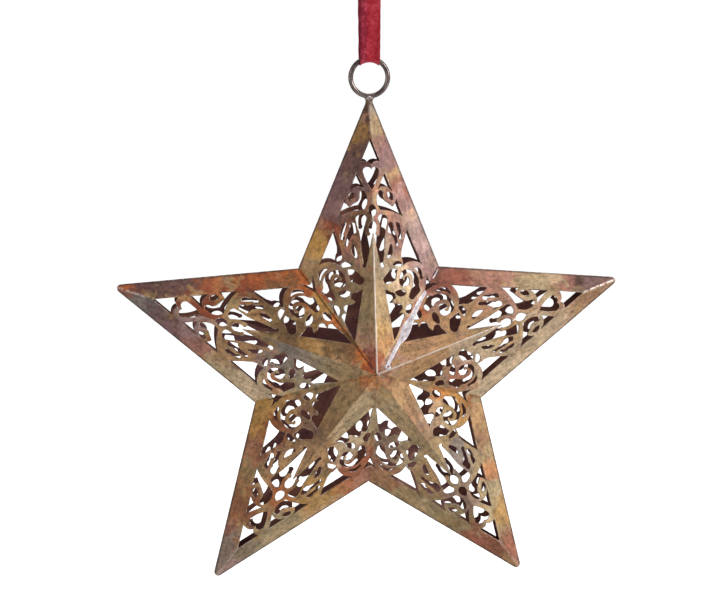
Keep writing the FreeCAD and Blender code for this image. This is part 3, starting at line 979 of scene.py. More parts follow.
@dataclass(frozen=True)
class VelvetFinish(Finish):
    """Short red pile of the ribbon, with painted shade left of a crease that is read from its UV
    map, and painted sheen on the pile and at the fold.
    """

    specular: float = 0.25
    sheen_weight: float = 0.55
    sheen_roughness: float = 0.35
    brushed: Grain = Grain(420, 5, 0.65)
    pile: Grain = Grain(2600, 3, 0.75)
    # Painted shade left of the crease, where the ribbon turns from the light.
    crease: Span = Span(0.41, 0.25)
    crease_waver: float = 0.4
    # Rubbed pile with painted sheen, then painted glints and painted shade in the pile.
    rubbed: Span = Span(0.46, 0.66, 0.0, 0.35)
    lit_pile: Span = Span(0.50, 0.70, 0.0, 0.55)
    painted_pile_shade: Span = Span(0.50, 0.34, 0.0, 0.5)
    # Painted highlight on the fold under the ring's wire.
    fold: Span = Span(-STAR.loop_length, -STAR.loop_length - 1.2 * MM, 0.0, 0.4)
    selvedge: Span = Span(0.45, 0.5, 0.0, 0.4)
    rough: Span = Span(0.3, 0.7, 0.75, 0.95)
    heights: tuple[float, float] = (0.12, 0.10)
    bump_share: float = 0.9

    def material(self, name: str) -> bpy.types.Material:
        """Make the ribbon's material.

        Args:
            name: The material's name.

        Returns:
            The material.
        """
        material, tree, shader = self.blank(name, 0.0, self.specular)
        shader.inputs["Sheen Weight"].default_value = self.sheen_weight
        shader.inputs["Sheen Roughness"].default_value = self.sheen_roughness
        shader.inputs["Sheen Tint"].default_value = Tone.VELVET_SHEEN.rgba
        places = tree.node("ShaderNodeTexCoord").outputs
        position = places["Object"]
        across = tree.parts(places["UV"])["X"]
        brushed = tree.noise(position, self.brushed)
        pile = tree.noise(position, self.pile)
        waver = tree.math("SUBTRACT", brushed, NOISE_MEAN)
        lay = tree.math("MULTIPLY_ADD", waver, self.crease_waver, across)
        off_middle = tree.math("ABSOLUTE", tree.math("SUBTRACT", across, 0.5))
        colour: Value = Tone.VELVET.rgba
        for value, span, tone in (
                # Painted shade left of the crease, painted sheen on rubbed and lit pile, painted
                # shade in the pile and a painted highlight on the fold.
                (lay, self.crease, Tone.VELVET_DARK),
                (brushed, self.rubbed, Tone.VELVET_SHEEN),
                (pile, self.lit_pile, Tone.VELVET_SHEEN),
                (pile, self.painted_pile_shade, Tone.VELVET_DARK),
                (tree.parts(position)["Z"], self.fold, Tone.VELVET_SHEEN),
                (off_middle, self.selvedge, Tone.VELVET_DARK)):
            colour = tree.mix(tree.ramp(value, span), colour, tone.rgba)
        tree.feed(shader.inputs["Base Color"], colour)
        tree.feed(shader.inputs["Roughness"], tree.ramp(pile, self.rough))
        brushed_height, pile_height = self.heights
        height = tree.math("MULTIPLY_ADD", pile, pile_height,
                           tree.times(brushed, brushed_height))
        self.bump(tree, shader, height, self.bump_share)
        return material


def dress(piece: bpy.types.Object, material: bpy.types.Material) -> None:
    """Give a piece one material in place of all it had.

    Args:
        piece: The piece or CAD node.
        material: Its new material.
    """
    piece.data.materials.clear()
    piece.data.materials.append(material)
    LOG.info("%s wears %s", piece.name, material.name)


def to_object(name: str, mesh: bmesh.types.BMesh) -> bpy.types.Object:
    """Turn a finished bmesh into an object of the scene.

    Args:
        name: The object's name.
        mesh: Its bmesh, which is freed.

    Returns:
        The new object.
    """
    data = bpy.data.meshes.new(name)
    mesh.to_mesh(data)
    mesh.free()
    made = bpy.data.objects.new(name, data)
    bpy.context.scene.collection.objects.link(made)
    LOG.info("%s has %d faces", name, len(data.polygons))
    return made


def declare(piece: bpy.types.Object, body: str, node: str = "") -> None:
    """Attach a piece to the body it moves with, and hide the CAD node it stands in for.

    Args:
        piece: The piece.
        body: The body it moves with.
        node: The CAD node it replaces, if any.
    """
    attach(piece, body)
    if node:
        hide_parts(node)


def lathe(profile: list[tuple[float, float]], steps: int) -> bmesh.types.BMesh:
    """Turn a profile round the Z axis and close its ends.

    Args:
        profile: Radius and height of each point.
        steps: Divisions round the axis.

    Returns:
        The bmesh of the turned shape.
    """
    mesh = bmesh.new()
    points = [mesh.verts.new((radius, 0, height)) for radius, height in profile]
    edges = [mesh.edges.new(pair) for pair in zip(points, points[1:])]
    bmesh.ops.spin(mesh, geom=points + edges, cent=(0, 0, 0), axis=(0, 0, 1),
                   angle=math.tau, steps=steps, use_merge=True)
    bmesh.ops.holes_fill(mesh, edges=[edge for edge in mesh.edges if edge.is_boundary])
    return mesh


def patches(*rows: tuple[float, float, float, Tone, float]) -> tuple[Blotch, ...]:
    """Make patches of patina from short rows.

    Args:
        rows: Each patch's share across and along the leaf, reach in mm, tone and strength.

    Returns:
        The patches.
    """
    return tuple(Blotch(*row) for row in rows)


@dataclass
class Leaves:
    """The ten folded leaves, each welded into one skin with softened edges and patinated."""

    names: tuple[str, ...] = ("top", "upper_right", "lower_right", "lower_left", "upper_left")
    weld_distance: float = 0.002 * MM
    flat: float = math.radians(0.5)
    sharp: float = math.radians(50)
    edge_round: float = 0.15 * MM
    edge_steps: int = 2
    front: dict[str, LeafPatina] = field(default_factory=lambda: {
        "top": LeafPatina(
            Tone.KHAKI, Tone.ROSE, Tone.OLIVE, accent_level=0.14, speckle=0.9,
            ridge=RidgeWearAndHighlight.BRIGHT, tip_wear_and_highlight=0.35, blotches=patches(
                (-0.60, 0.70, 15, Tone.BRICK, 0.6), (-0.90, 0.44, 12, Tone.OLIVE, 0.7),
                (-0.80, 0.56, 7, Tone.OCHRE, 0.9), (-0.62, 0.62, 5, Tone.DEEP_RUST, 0.8),
                (-0.30, 0.94, 15, Tone.PLUM, 0.9), (-0.52, 0.78, 9, Tone.MAUVE, 0.8),
                (-0.22, 1.03, 5, Tone.OCHRE, 0.6), (-0.14, 1.20, 9, Tone.UMBER, 0.9),
                (-0.40, 0.36, 13, Tone.MAUVE, 0.5), (-0.70, 0.34, 6, Tone.RUST, 0.8),
                (-0.62, 0.27, 6, Tone.STEEL_OLIVE, 0.8), (-1.02, 0.46, 6, Tone.TAN, 0.4),
                (-0.12, 0.34, 12, Tone.OLIVE, 0.8), (-0.05, 0.62, 8, Tone.OLIVE_DARK, 0.8),
                (0.30, 1.00, 10, Tone.ROSE_DEEP, 0.7), (0.10, 1.09, 6, Tone.KHAKI, 0.9),
                (0.04, 1.15, 4, Tone.STEEL_GREY, 0.6), (0.08, 1.22, 7, Tone.UMBER, 0.7),
                (0.50, 0.78, 9, Tone.ROSE_DEEP, 0.9), (0.39, 0.86, 3, Tone.TAN, 0.65),
                (0.24, 0.93, 6, Tone.MAUVE, 0.85), (0.50, 0.77, 7, Tone.SIENNA, 0.7),
                (0.80, 0.62, 13, Tone.MAUVE_PALE, 0.6), (0.80, 0.59, 9, Tone.STEEL_GREY, 0.45),
                (0.92, 0.50, 9, Tone.MAUVE_PALE, 0.6), (1.02, 0.46, 7, Tone.MAUVE, 0.5),
                (0.30, 0.60, 9, Tone.ROSE_DEEP, 0.8), (0.45, 0.39, 8, Tone.SAND, 0.75),
                (0.06, 0.47, 8, Tone.STEEL_OLIVE, 0.6), (0.14, 0.28, 10, Tone.KHAKI, 0.9),
                (-0.10, 0.05, 5, Tone.BRICK, 0.7), (-0.06, 0.03, 5, Tone.DEEP_RUST, 0.9),
                (0.14, 0.14, 6, Tone.OCHRE, 0.5), (0.05, 0.03, 4, Tone.DEEP_RUST, 0.85))),
        "upper_right": LeafPatina(
            Tone.KHAKI, Tone.PINK_TAN, Tone.TAN, ridge=RidgeWearAndHighlight.BRIGHT, tip_wear_and_highlight=0.9,
            seam_and_shade_level=0.2, blotches=patches(
                (-0.25, 1.08, 11, Tone.MAUVE, 0.9), (-0.22, 1.00, 3, Tone.UMBER, 0.8),
                (-0.30, 0.94, 5, Tone.ROSE, 0.8), (-0.55, 0.80, 5, Tone.TAN, 0.8),
                (-0.45, 0.82, 9, Tone.PALE_KHAKI, 0.8),
                (-0.75, 0.62, 12, Tone.ROSE, 0.7), (-0.98, 0.44, 10, Tone.PLUM, 0.95),
                (-0.85, 0.50, 6, Tone.BRICK, 0.8), (-0.80, 0.33, 8, Tone.BRICK, 0.9),
                (-0.62, 0.28, 6, Tone.RUST, 0.9), (-0.70, 0.36, 4, Tone.MAUVE_PALE, 0.6),
                (-0.30, 0.44, 9, Tone.TAN, 0.6), (-0.18, 0.28, 12, Tone.TAN, 0.8),
                (-0.06, 0.03, 4, Tone.ROSE_DEEP, 0.7),
                (0.55, 0.78, 15, Tone.SAND, 0.85), (0.88, 0.52, 13, Tone.SAND, 0.9),
                (1.04, 0.46, 6, Tone.SAND, 0.9), (0.22, 1.04, 8, Tone.TAN, 0.6),
                (0.45, 0.38, 8, Tone.PINK_TAN, 0.8), (0.12, 0.24, 11, Tone.TAN, 0.85),
                (0.20, 0.62, 6, Tone.OCHRE, 0.5), (0.70, 0.40, 6, Tone.RUST, 0.5),
                (0.08, 0.46, 9, Tone.SAND, 0.7), (0.04, 0.02, 3, Tone.SIENNA, 0.7))),
        "lower_right": LeafPatina(
            Tone.KHAKI, Tone.PALE_KHAKI, Tone.OCHRE, accent_level=0.15, speckle=1.4,
            ridge=RidgeWearAndHighlight.FAINT, tip_wear_and_highlight=0.25, seam_and_shade_level=0.25, blotches=patches(
                (0.22, 1.02, 12, Tone.BRICK, 0.85), (0.05, 1.13, 4, Tone.TAN, 0.9),
                (0.55, 0.80, 11, Tone.OLIVE, 0.5), (0.28, 0.92, 5, Tone.BRICK, 0.7),
                (0.80, 0.60, 9, Tone.KHAKI, 0.8), (0.96, 0.43, 10, Tone.BRICK, 0.7),
                (1.04, 0.47, 5, Tone.TAN, 0.5),
                (-0.20, 1.09, 9, Tone.ROSE, 0.9), (-0.16, 1.04, 5, Tone.RUST, 0.35),
                (-0.50, 0.82, 15, Tone.PALE_KHAKI, 0.7), (-0.80, 0.60, 9, Tone.KHAKI, 0.7),
                (-0.62, 0.74, 5, Tone.ORANGE, 0.5), (-0.78, 0.60, 4, Tone.BRICK, 0.4),
                (-0.92, 0.49, 8, Tone.TAN, 0.7), (-0.96, 0.42, 5, Tone.RUST, 0.7),
                (-0.36, 0.92, 5, Tone.OCHRE, 0.7), (-0.75, 0.38, 9, Tone.OCHRE, 0.7),
                (-0.60, 0.30, 5, Tone.ORANGE, 0.5), (-0.30, 0.58, 7, Tone.STEEL_GREY, 0.8),
                (-0.45, 0.37, 6, Tone.PALE_KHAKI, 0.7),
                (0.45, 0.38, 8, Tone.PALE_KHAKI, 0.7), (0.30, 0.58, 8, Tone.TAN, 0.5),
                (0.08, 0.30, 12, Tone.KHAKI, 0.7), (0.60, 0.34, 6, Tone.MAUVE, 0.5),
                (0.00, 0.72, 7, Tone.MAUVE, 0.6), (-0.10, 0.16, 10, Tone.TAN, 0.8),
                (-0.08, 0.32, 8, Tone.ROSE_DEEP, 0.4), (-0.06, 0.47, 5, Tone.KHAKI, 0.7),
                (0.04, 0.03, 4, Tone.ORANGE, 0.4), (-0.05, 0.03, 4, Tone.SIENNA, 0.65))),
        "lower_left": LeafPatina(
            Tone.OLIVE, Tone.TAN, Tone.BRICK, accent_level=0.20, speckle=1.6,
            ridge=RidgeWearAndHighlight.FAINT, tip_wear_and_highlight=0.25, seam_and_shade_level=0.25, blotches=patches(
                (0.22, 1.08, 13, Tone.STEEL_GREY, 0.7), (0.45, 0.86, 9, Tone.DEEP_RUST, 0.6),
                (0.75, 0.64, 9, Tone.OLIVE, 0.5), (0.80, 0.60, 7, Tone.BRICK, 0.6),
                (0.95, 0.46, 10, Tone.OCHRE, 0.8), (0.60, 0.50, 7, Tone.DEEP_RUST, 0.7),
                (-0.25, 1.06, 11, Tone.STEEL_OLIVE, 0.8), (-0.06, 1.12, 6, Tone.MAUVE_PALE, 0.7),
                (-0.50, 0.82, 11, Tone.PALE_KHAKI, 0.6), (-0.74, 0.61, 9, Tone.PALE_KHAKI, 0.7),
                (-0.92, 0.46, 10, Tone.RUST, 0.7), (-1.04, 0.46, 5, Tone.PINK_TAN, 0.5),
                (-0.45, 0.64, 9, Tone.OCHRE, 0.7), (-0.65, 0.42, 8, Tone.BRICK, 0.7),
                (-0.45, 0.37, 6, Tone.SAND, 0.7), (-0.06, 0.46, 7, Tone.TAN, 0.9),
                (0.30, 0.38, 9, Tone.PLUM, 0.5), (0.20, 0.20, 9, Tone.OLIVE, 0.7),
                (-0.10, 0.22, 12, Tone.PALE_KHAKI, 0.8), (0.08, 0.28, 7, Tone.OLIVE_DARK, 0.5),
                (0.06, 0.46, 5, Tone.TAN, 0.6),
                (0.00, 0.70, 6, Tone.RUST, 0.6),
                (-0.06, 0.02, 4, Tone.ORANGE, 0.4), (0.06, 0.02, 5, Tone.RUST, 0.6))),
        "upper_left": LeafPatina(
            Tone.OLIVE, Tone.TAN, Tone.DEEP_RUST, accent_level=0.20, speckle=2.0,
            ridge=RidgeWearAndHighlight.FAINT, tip_wear_and_highlight=0.5, seam_and_shade_level=0.9, blotches=patches(
                (0.12, 1.13, 8, Tone.RUST, 0.95), (0.34, 0.99, 10, Tone.PLUM, 0.95),
                (0.54, 0.84, 6, Tone.PLUM, 0.8), (0.48, 0.78, 6, Tone.RUST, 0.6),
                (0.80, 0.62, 10, Tone.DEEP_RUST, 0.9), (0.78, 0.60, 5, Tone.RUST, 0.6),
                (0.98, 0.44, 12, Tone.RUST, 0.95), (1.04, 0.46, 6, Tone.ORANGE, 0.5),
                (0.60, 0.50, 10, Tone.OLIVE_DARK, 0.8), (0.80, 0.315, 5, Tone.OCHRE, 0.9),
                (0.62, 0.245, 4, Tone.ORANGE, 0.8), (0.46, 0.18, 4, Tone.ORANGE, 0.8),
                (0.30, 0.115, 5, Tone.ORANGE, 0.95), (0.12, 0.04, 5, Tone.ORANGE, 0.9),
                (0.14, 0.38, 9, Tone.OLIVE_DARK, 0.9), (0.14, 0.26, 7, Tone.OCHRE, 0.4),
                (0.22, 0.18, 7, Tone.OLIVE_DARK, 0.9), (0.05, 0.01, 6, Tone.RUST, 0.9),
                (0.05, 0.04, 3, Tone.DEEP_RUST, 0.8),
                (-0.22, 1.04, 13, Tone.STEEL_GREY, 0.95), (-0.04, 1.13, 3, Tone.BRICK, 0.7),
                (-0.44, 0.85, 10, Tone.MAUVE, 0.95), (-0.30, 0.95, 6, Tone.MAUVE, 0.85),
                (-0.54, 0.75, 6, Tone.ROSE, 0.9),
                (-0.74, 0.63, 9, Tone.PALE_KHAKI, 0.8), (-0.90, 0.48, 11, Tone.SAND, 0.8),
                # Sand painted lighter here, where this face gets little light.
                (-1.04, 0.46, 6, Tone.SAND, 0.95),
                (0.05, 0.80, 8, Tone.DEEP_RUST, 0.9), (-0.10, 0.82, 7, Tone.MAUVE_PALE, 0.8),
                (-0.16, 0.66, 7, Tone.PINK_TAN, 0.6), (-0.40, 0.48, 6, Tone.MAUVE_PALE, 0.7),
                (-0.60, 0.34, 8, Tone.PALE_KHAKI, 0.7), (-0.45, 0.37, 5, Tone.SAND, 0.9),
                (-0.70, 0.42, 4, Tone.ORANGE, 0.6), (-0.30, 0.60, 9, Tone.TAN, 0.9),
                (-0.03, 0.01, 6, Tone.ORANGE, 0.5),
                (-0.12, 0.30, 13, Tone.STEEL_OLIVE, 0.9), (-0.10, 0.22, 12, Tone.PALE_KHAKI, 0.5),
                (-0.08, 0.38, 9, Tone.STEEL_GREY, 0.5),
                (-0.10, 0.12, 8, Tone.KHAKI, 0.8))),
    })
    back: dict[str, LeafPatina] = field(default_factory=lambda: {
        "top": LeafPatina(
            Tone.KHAKI, Tone.ROSE, Tone.RUST, speckle=1.0, ridge=RidgeWearAndHighlight.BACK_TOP,
            blotches=patches(
                (0.30, 0.95, 14, Tone.MAUVE, 0.8), (-0.70, 0.60, 13, Tone.BRICK, 0.6),
                (0.00, 0.06, 10, Tone.STEEL_GREY, 0.6))),
        "upper_right": LeafPatina(
            Tone.OLIVE, Tone.TAN, Tone.BRICK, accent_level=0.18, blotches=patches(
                (0.25, 1.02, 13, Tone.PLUM, 0.7), (0.80, 0.50, 12, Tone.OCHRE, 0.6),
                (-0.60, 0.72, 12, Tone.STEEL_GREY, 0.6))),
        "lower_right": LeafPatina(
            Tone.TAN, Tone.OLIVE, Tone.MAUVE, speckle=1.0, blotches=patches(
                (-0.25, 1.00, 14, Tone.BRICK, 0.7), (0.85, 0.45, 12, Tone.DEEP_RUST, 0.6),
                (0.30, 0.70, 10, Tone.PALE_KHAKI, 0.6))),
        "lower_left": LeafPatina(
            Tone.KHAKI, Tone.TAN, Tone.BRICK, speckle=1.1, blotches=patches(
                (0.20, 1.04, 12, Tone.STEEL_GREY, 0.7), (-0.85, 0.50, 12, Tone.OLIVE_DARK, 0.7),
                (0.50, 0.40, 11, Tone.RUST, 0.5))),
        "upper_left": LeafPatina(
            Tone.OLIVE, Tone.KHAKI, Tone.RUST, accent_level=0.18, blotches=patches(
                (-0.20, 1.05, 12, Tone.RUST, 0.7), (0.70, 0.64, 13, Tone.MAUVE, 0.7),
                (-0.80, 0.42, 12, Tone.PLUM, 0.5))),
    })

    def build(self, effects: Effects) -> None:
        """Skin every leaf and dress it in its own patina.

        Args:
            effects: The shared effects.
        """
        for arm, name in enumerate(self.names):
            for side, patinas in (("front", self.front), ("back", self.back)):
                piece = self._skin(f"{side}_leaf_{name}", f"tin_{side}_{name}")
                dress(piece, patinas[name].material(
                    effects, f"patina_{side}_{name}", arm, side == "front"))

    def _skin(self, node: str, name: str) -> bpy.types.Object:
        """Copy a leaf's node as one welded skin whose cut edges are softened.

        Args:
            node: The CAD node.
            name: The new piece's name.

        Returns:
            The new piece, which stands in for the node.
        """
        mesh = bmesh.new()
        mesh.from_mesh(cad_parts[node].data)
        bmesh.ops.remove_doubles(mesh, verts=mesh.verts, dist=self.weld_distance)
        bmesh.ops.dissolve_limit(
            mesh, angle_limit=self.flat, verts=mesh.verts, edges=mesh.edges, delimit=set())
        cut = [edge for edge in mesh.edges
               if edge.is_manifold and edge.calc_face_angle(0.0) > self.sharp]
        rounded = bmesh.ops.bevel(
            mesh, geom=cut, offset=self.edge_round, offset_type="OFFSET",
            segments=self.edge_steps, profile=0.5, affect="EDGES", clamp_overlap=False,
            material=-1)["faces"]
        bmesh.ops.recalc_face_normals(mesh, faces=mesh.faces)
        mesh.faces.index_update()
        marks = [0.0] * len(mesh.faces)
        for face in rounded:
            face.smooth = True
            marks[face.index] = 1.0
        piece = to_object(name, mesh)
        edge = piece.data.attributes.new("edge", "FLOAT", "FACE")
        edge.data.foreach_set("value", marks)
        declare(piece, "star", node)
        return piece


@dataclass
class Solders:
    """Solder of the valleys, the rim and the ring, with the bright smeared seam.

    The seam's stations give a share along the valley and the signed distances in mm, left
    (negative) and right of the valley, that the smear spans there. The bead's dome is in shares
    of its radius and its hole in shares of the pinhole's, both with heights in mm. The collar's
    profile is in mm. Each valley wears the patina of an arm beside it, counted from the top one.
    """

    bright: MetalFinish = MetalFinish(
        Tone.SOLDER, Tone.SOLDER_SHADE, metallic=0.2, rough=(0.30, 0.46),
        cloud=Grain(620, 4, 0.65, 0.3), pitting=0.5)
    dull: MetalFinish = MetalFinish(
        Tone.UMBER, Tone.STEEL_GREY, metallic=0.4, rough=(0.42, 0.58),
        cloud=Grain(420, 4, 0.65, 0.3), pitting=1.0)
    worn: MetalFinish = MetalFinish(
        Tone.SOLDER_SHADE, Tone.OLIVE_DARK, metallic=0.55, rough=(0.26, 0.40),
        cloud=Grain(640, 4, 0.65, 0.3), pitting=0.4, bump_share=0.5)
    valley_arms: tuple[tuple[str, int], ...] = (
        ("upper_right", 1), ("right", 2), ("bottom", 3), ("left", 3), ("upper_left", 4))
    seam_inner: tuple[tuple[float, float, float], ...] = (
        (0.095, 0.80, 1.90), (0.13, 0.62, 1.78), (0.18, 0.47, 1.66), (0.23, 0.40, 1.60),
        (0.28, 0.32, 1.52), (0.31, 0.15, 1.72), (0.345, -0.10, 2.25), (0.385, -0.50, 2.45),
        (0.43, -0.85, 2.20), (0.47, -0.66, 1.85), (0.51, -0.42, 1.58), (0.56, -0.44, 1.25),
        (0.62, -0.60, 0.95), (0.685, -0.74, 0.80), (0.735, -0.45, 0.76), (0.765, -0.25, 0.56))
    seam_outer: tuple[tuple[float, float, float], ...] = (
        (0.872, -0.25, 0.40), (0.90, -0.30, 0.45), (0.94, -0.28, 0.40), (0.968, -0.20, 0.30))
    seam_ring_points: int = 16
    seam_rise: float = 0.20 * MM
    seam_root: float = 0.08 * MM
    seam_wobble: float = 0.15
    seam_wobble_step: float = 5.1
    seam_full_width_mm: float = 1.2
    seam_thin_rise: float = 0.55
    seam_smooth: int = 2
    valley_blend: float = 0.5 * MM
    bead_place: tuple[float, float] = (0.092, 1.62)
    bead_radius: float = 1.06 * MM
    bead_dome: tuple[tuple[float, float], ...] = (
        (1.0, -0.30), (0.98, 0.02), (0.80, 0.28), (0.50, 0.38))
    pinhole_radius: float = 0.32 * MM
    pinhole: tuple[tuple[float, float], ...] = ((1.3, 0.34), (1.0, 0.20), (0.8, -0.60))
    bead_steps: int = 20
    bead_smooth: int = 1
    collar_profile: tuple[tuple[float, float], ...] = (
        (0.30, -46.75), (0.85, -47.00), (1.30, -47.35), (1.50, -47.75), (1.38, -48.10),
        (1.08, -48.45), (1.10, -48.90), (1.25, -49.40), (0.70, -49.80))
    collar_steps: int = 24
    collar_depth_share: float = 0.78
    collar_lumps: int = 3
    collar_lump_share: float = 0.05
    collar_smooth: int = 2

    def build(self, effects: Effects, leaves: Leaves) -> None:
        """Dress the solder nodes and add the smeared seam, its end bead and the ring's collar.

        Args:
            effects: The shared effects.
            leaves: The leaves, whose patina runs over the valleys.
        """
        for side in ("front", "back"):
            for valley, arm in self.valley_arms:
                look = bpy.data.materials[f"patina_{side}_{leaves.names[arm]}"]
                dress(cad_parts[f"{side}_solder_{valley}"], look)
        dress(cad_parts["rim_solder"], self.dull.material(effects, "dull_solder"))
        bright = self.bright.material(effects, "bright_solder")
        dress(self._seam(), bright)
        dress(self._bead(), bright)
        dress(self._collar(), self.worn.material(effects, "worn_solder"))

    @staticmethod
    def _valley_ways() -> tuple[Vector, Vector, Vector]:
        """Directions at the front valley right of the top arm.

        Returns:
            Along the valley, and square to it in the top leaf's face and in its neighbour's.
        """
        along = (STAR.notch - STAR.peak).normalized()
        face = (STAR.tip - STAR.peak).cross(STAR.notch - STAR.peak).normalized()
        here = face.cross(along).normalized()
        if here.dot(STAR.tip - STAR.notch) < 0:
            here = -here
        half = STAR.arm_turn / 2
        normal = Vector((math.cos(half), 0, -math.sin(half)))
        there = here - 2 * here.dot(normal) * normal
        return along, here, there

    def _on_face(self, share: float, distance: float) -> tuple[Vector, Vector]:
        """Find a point beside the valley and the outward direction there.

        Args:
            share: Share along the valley from the peak.
            distance: Distance from it in metres, negative on the top leaf.

        Returns:
            The point in the part's frame, and the unit direction off the faces.
        """
        along, here, there = self._valley_ways()
        way = there if distance >= 0 else here
        foot = STAR.turned(STAR.peak.lerp(STAR.notch, share), 0)
        off = along.cross(way)
        off = -off if off.y > 0 else off
        blend = clamped(abs(distance) / self.valley_blend)
        return foot + way * abs(distance), (here + there).normalized().lerp(off, blend).normalized()

    def _strip(self, mesh: bmesh.types.BMesh,
               stations: tuple[tuple[float, float, float], ...]) -> None:
        """Add one run of solder: rings of points along the valley, joined and closed.

        Args:
            mesh: The bmesh that the run goes into.
            stations: Share along the valley, and where the run starts and ends across it in mm.
        """
        previous: list[bmesh.types.BMEdge] = []
        for index, (share, left, right) in enumerate(stations):
            ring = bmesh.ops.create_circle(mesh, segments=self.seam_ring_points, radius=1.0)
            full = clamped((right - left) / self.seam_full_width_mm)
            full = self.seam_thin_rise + (1 - self.seam_thin_rise) * full
            rise = self.seam_rise * (1 + self.seam_wobble * math.sin(self.seam_wobble_step * index))
            for vertex in ring["verts"]:
                angle = math.atan2(vertex.co.y, vertex.co.x)
                across = left + (right - left) * (1 - math.cos(angle)) / 2
                point, off = self._on_face(share, across * MM)
                lift = math.sin(angle)
                vertex.co = point + off * (rise if lift > 0 else self.seam_root) * lift * full
            edges = list({edge for vertex in ring["verts"] for edge in vertex.link_edges})
            if previous:
                bmesh.ops.bridge_loops(mesh, edges=previous + edges)
            previous = edges
        bmesh.ops.holes_fill(mesh, edges=[edge for edge in mesh.edges if edge.is_boundary])

    @staticmethod
    def _piece(name: str, mesh: bmesh.types.BMesh, levels: int, node: str = "") -> bpy.types.Object:
        """Turn a bmesh into a smooth piece of solder with live subdivision.

        Args:
            name: The piece's name.
            mesh: Its bmesh.
            levels: Levels of subdivision.
            node: The CAD node it replaces, if any.

        Returns:
            The piece.
        """
        bmesh.ops.recalc_face_normals(mesh, faces=mesh.faces)
        for face in mesh.faces:
            face.smooth = True
        piece = to_object(name, mesh)
        declare(piece, "star", node)
        smooth = piece.modifiers.new("smooth", "SUBSURF")
        smooth.levels = levels
        smooth.render_levels = levels
        return piece

    def _seam(self) -> bpy.types.Object:
        """Model the bright seam in two runs.

        Returns:
            The seam's object.
        """
        mesh = bmesh.new()
        self._strip(mesh, self.seam_inner)
        self._strip(mesh, self.seam_outer)
        return self._piece("bright_seam", mesh, self.seam_smooth)

    def _bead(self) -> bpy.types.Object:
        """Model the bead with a pinhole at the seam's inner end.

        Returns:
            The bead's object.
        """
        mesh = lathe(
            [(radius * share, height * MM)
             for radius, rows in ((self.bead_radius, self.bead_dome),
                                  (self.pinhole_radius, self.pinhole))
             for share, height in rows], self.bead_steps)
        share, across = self.bead_place
        foot, off = self._on_face(share, across * MM)
        side = self._valley_ways()[0].cross(off).normalized()
        turn = Matrix((side, off.cross(side), off)).transposed()
        bmesh.ops.transform(mesh, matrix=Matrix.Translation(foot) @ turn.to_4x4(),
                            verts=mesh.verts)
        return self._piece("seam_end_bead", mesh, self.bead_smooth)

    def _collar(self) -> bpy.types.Object:
        """Model the waisted collar of solder that holds the ring on the top arm's tip.

        Returns:
            The collar's object.
        """
        mesh = lathe([(radius * MM, height * MM) for radius, height in self.collar_profile],
                     self.collar_steps)
        for vertex in mesh.verts:
            angle = math.atan2(vertex.co.y, vertex.co.x)
            lump = 1 + self.collar_lump_share * math.sin(self.collar_lumps * angle)
            vertex.co.x *= lump
            vertex.co.y *= self.collar_depth_share * lump
        return self._piece("ring_collar", mesh, self.collar_smooth, "ring_solder")


@dataclass
class Ring:
    """The ring of dark round wire."""

    finish: MetalFinish = MetalFinish(
        Tone.WIRE, Tone.WIRE_DARK, metallic=0.8, rough=(0.16, 0.34),
        cloud=Grain(300, 4, 0.65, 0.3), pitting=0.25, bump_share=0.22)

    def build(self, effects: Effects) -> None:
        """Dress the ring's node.

        Args:
            effects: The shared effects.
        """
        dress(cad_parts["hanging_ring"], self.finish.material(effects, "dark_wire"))


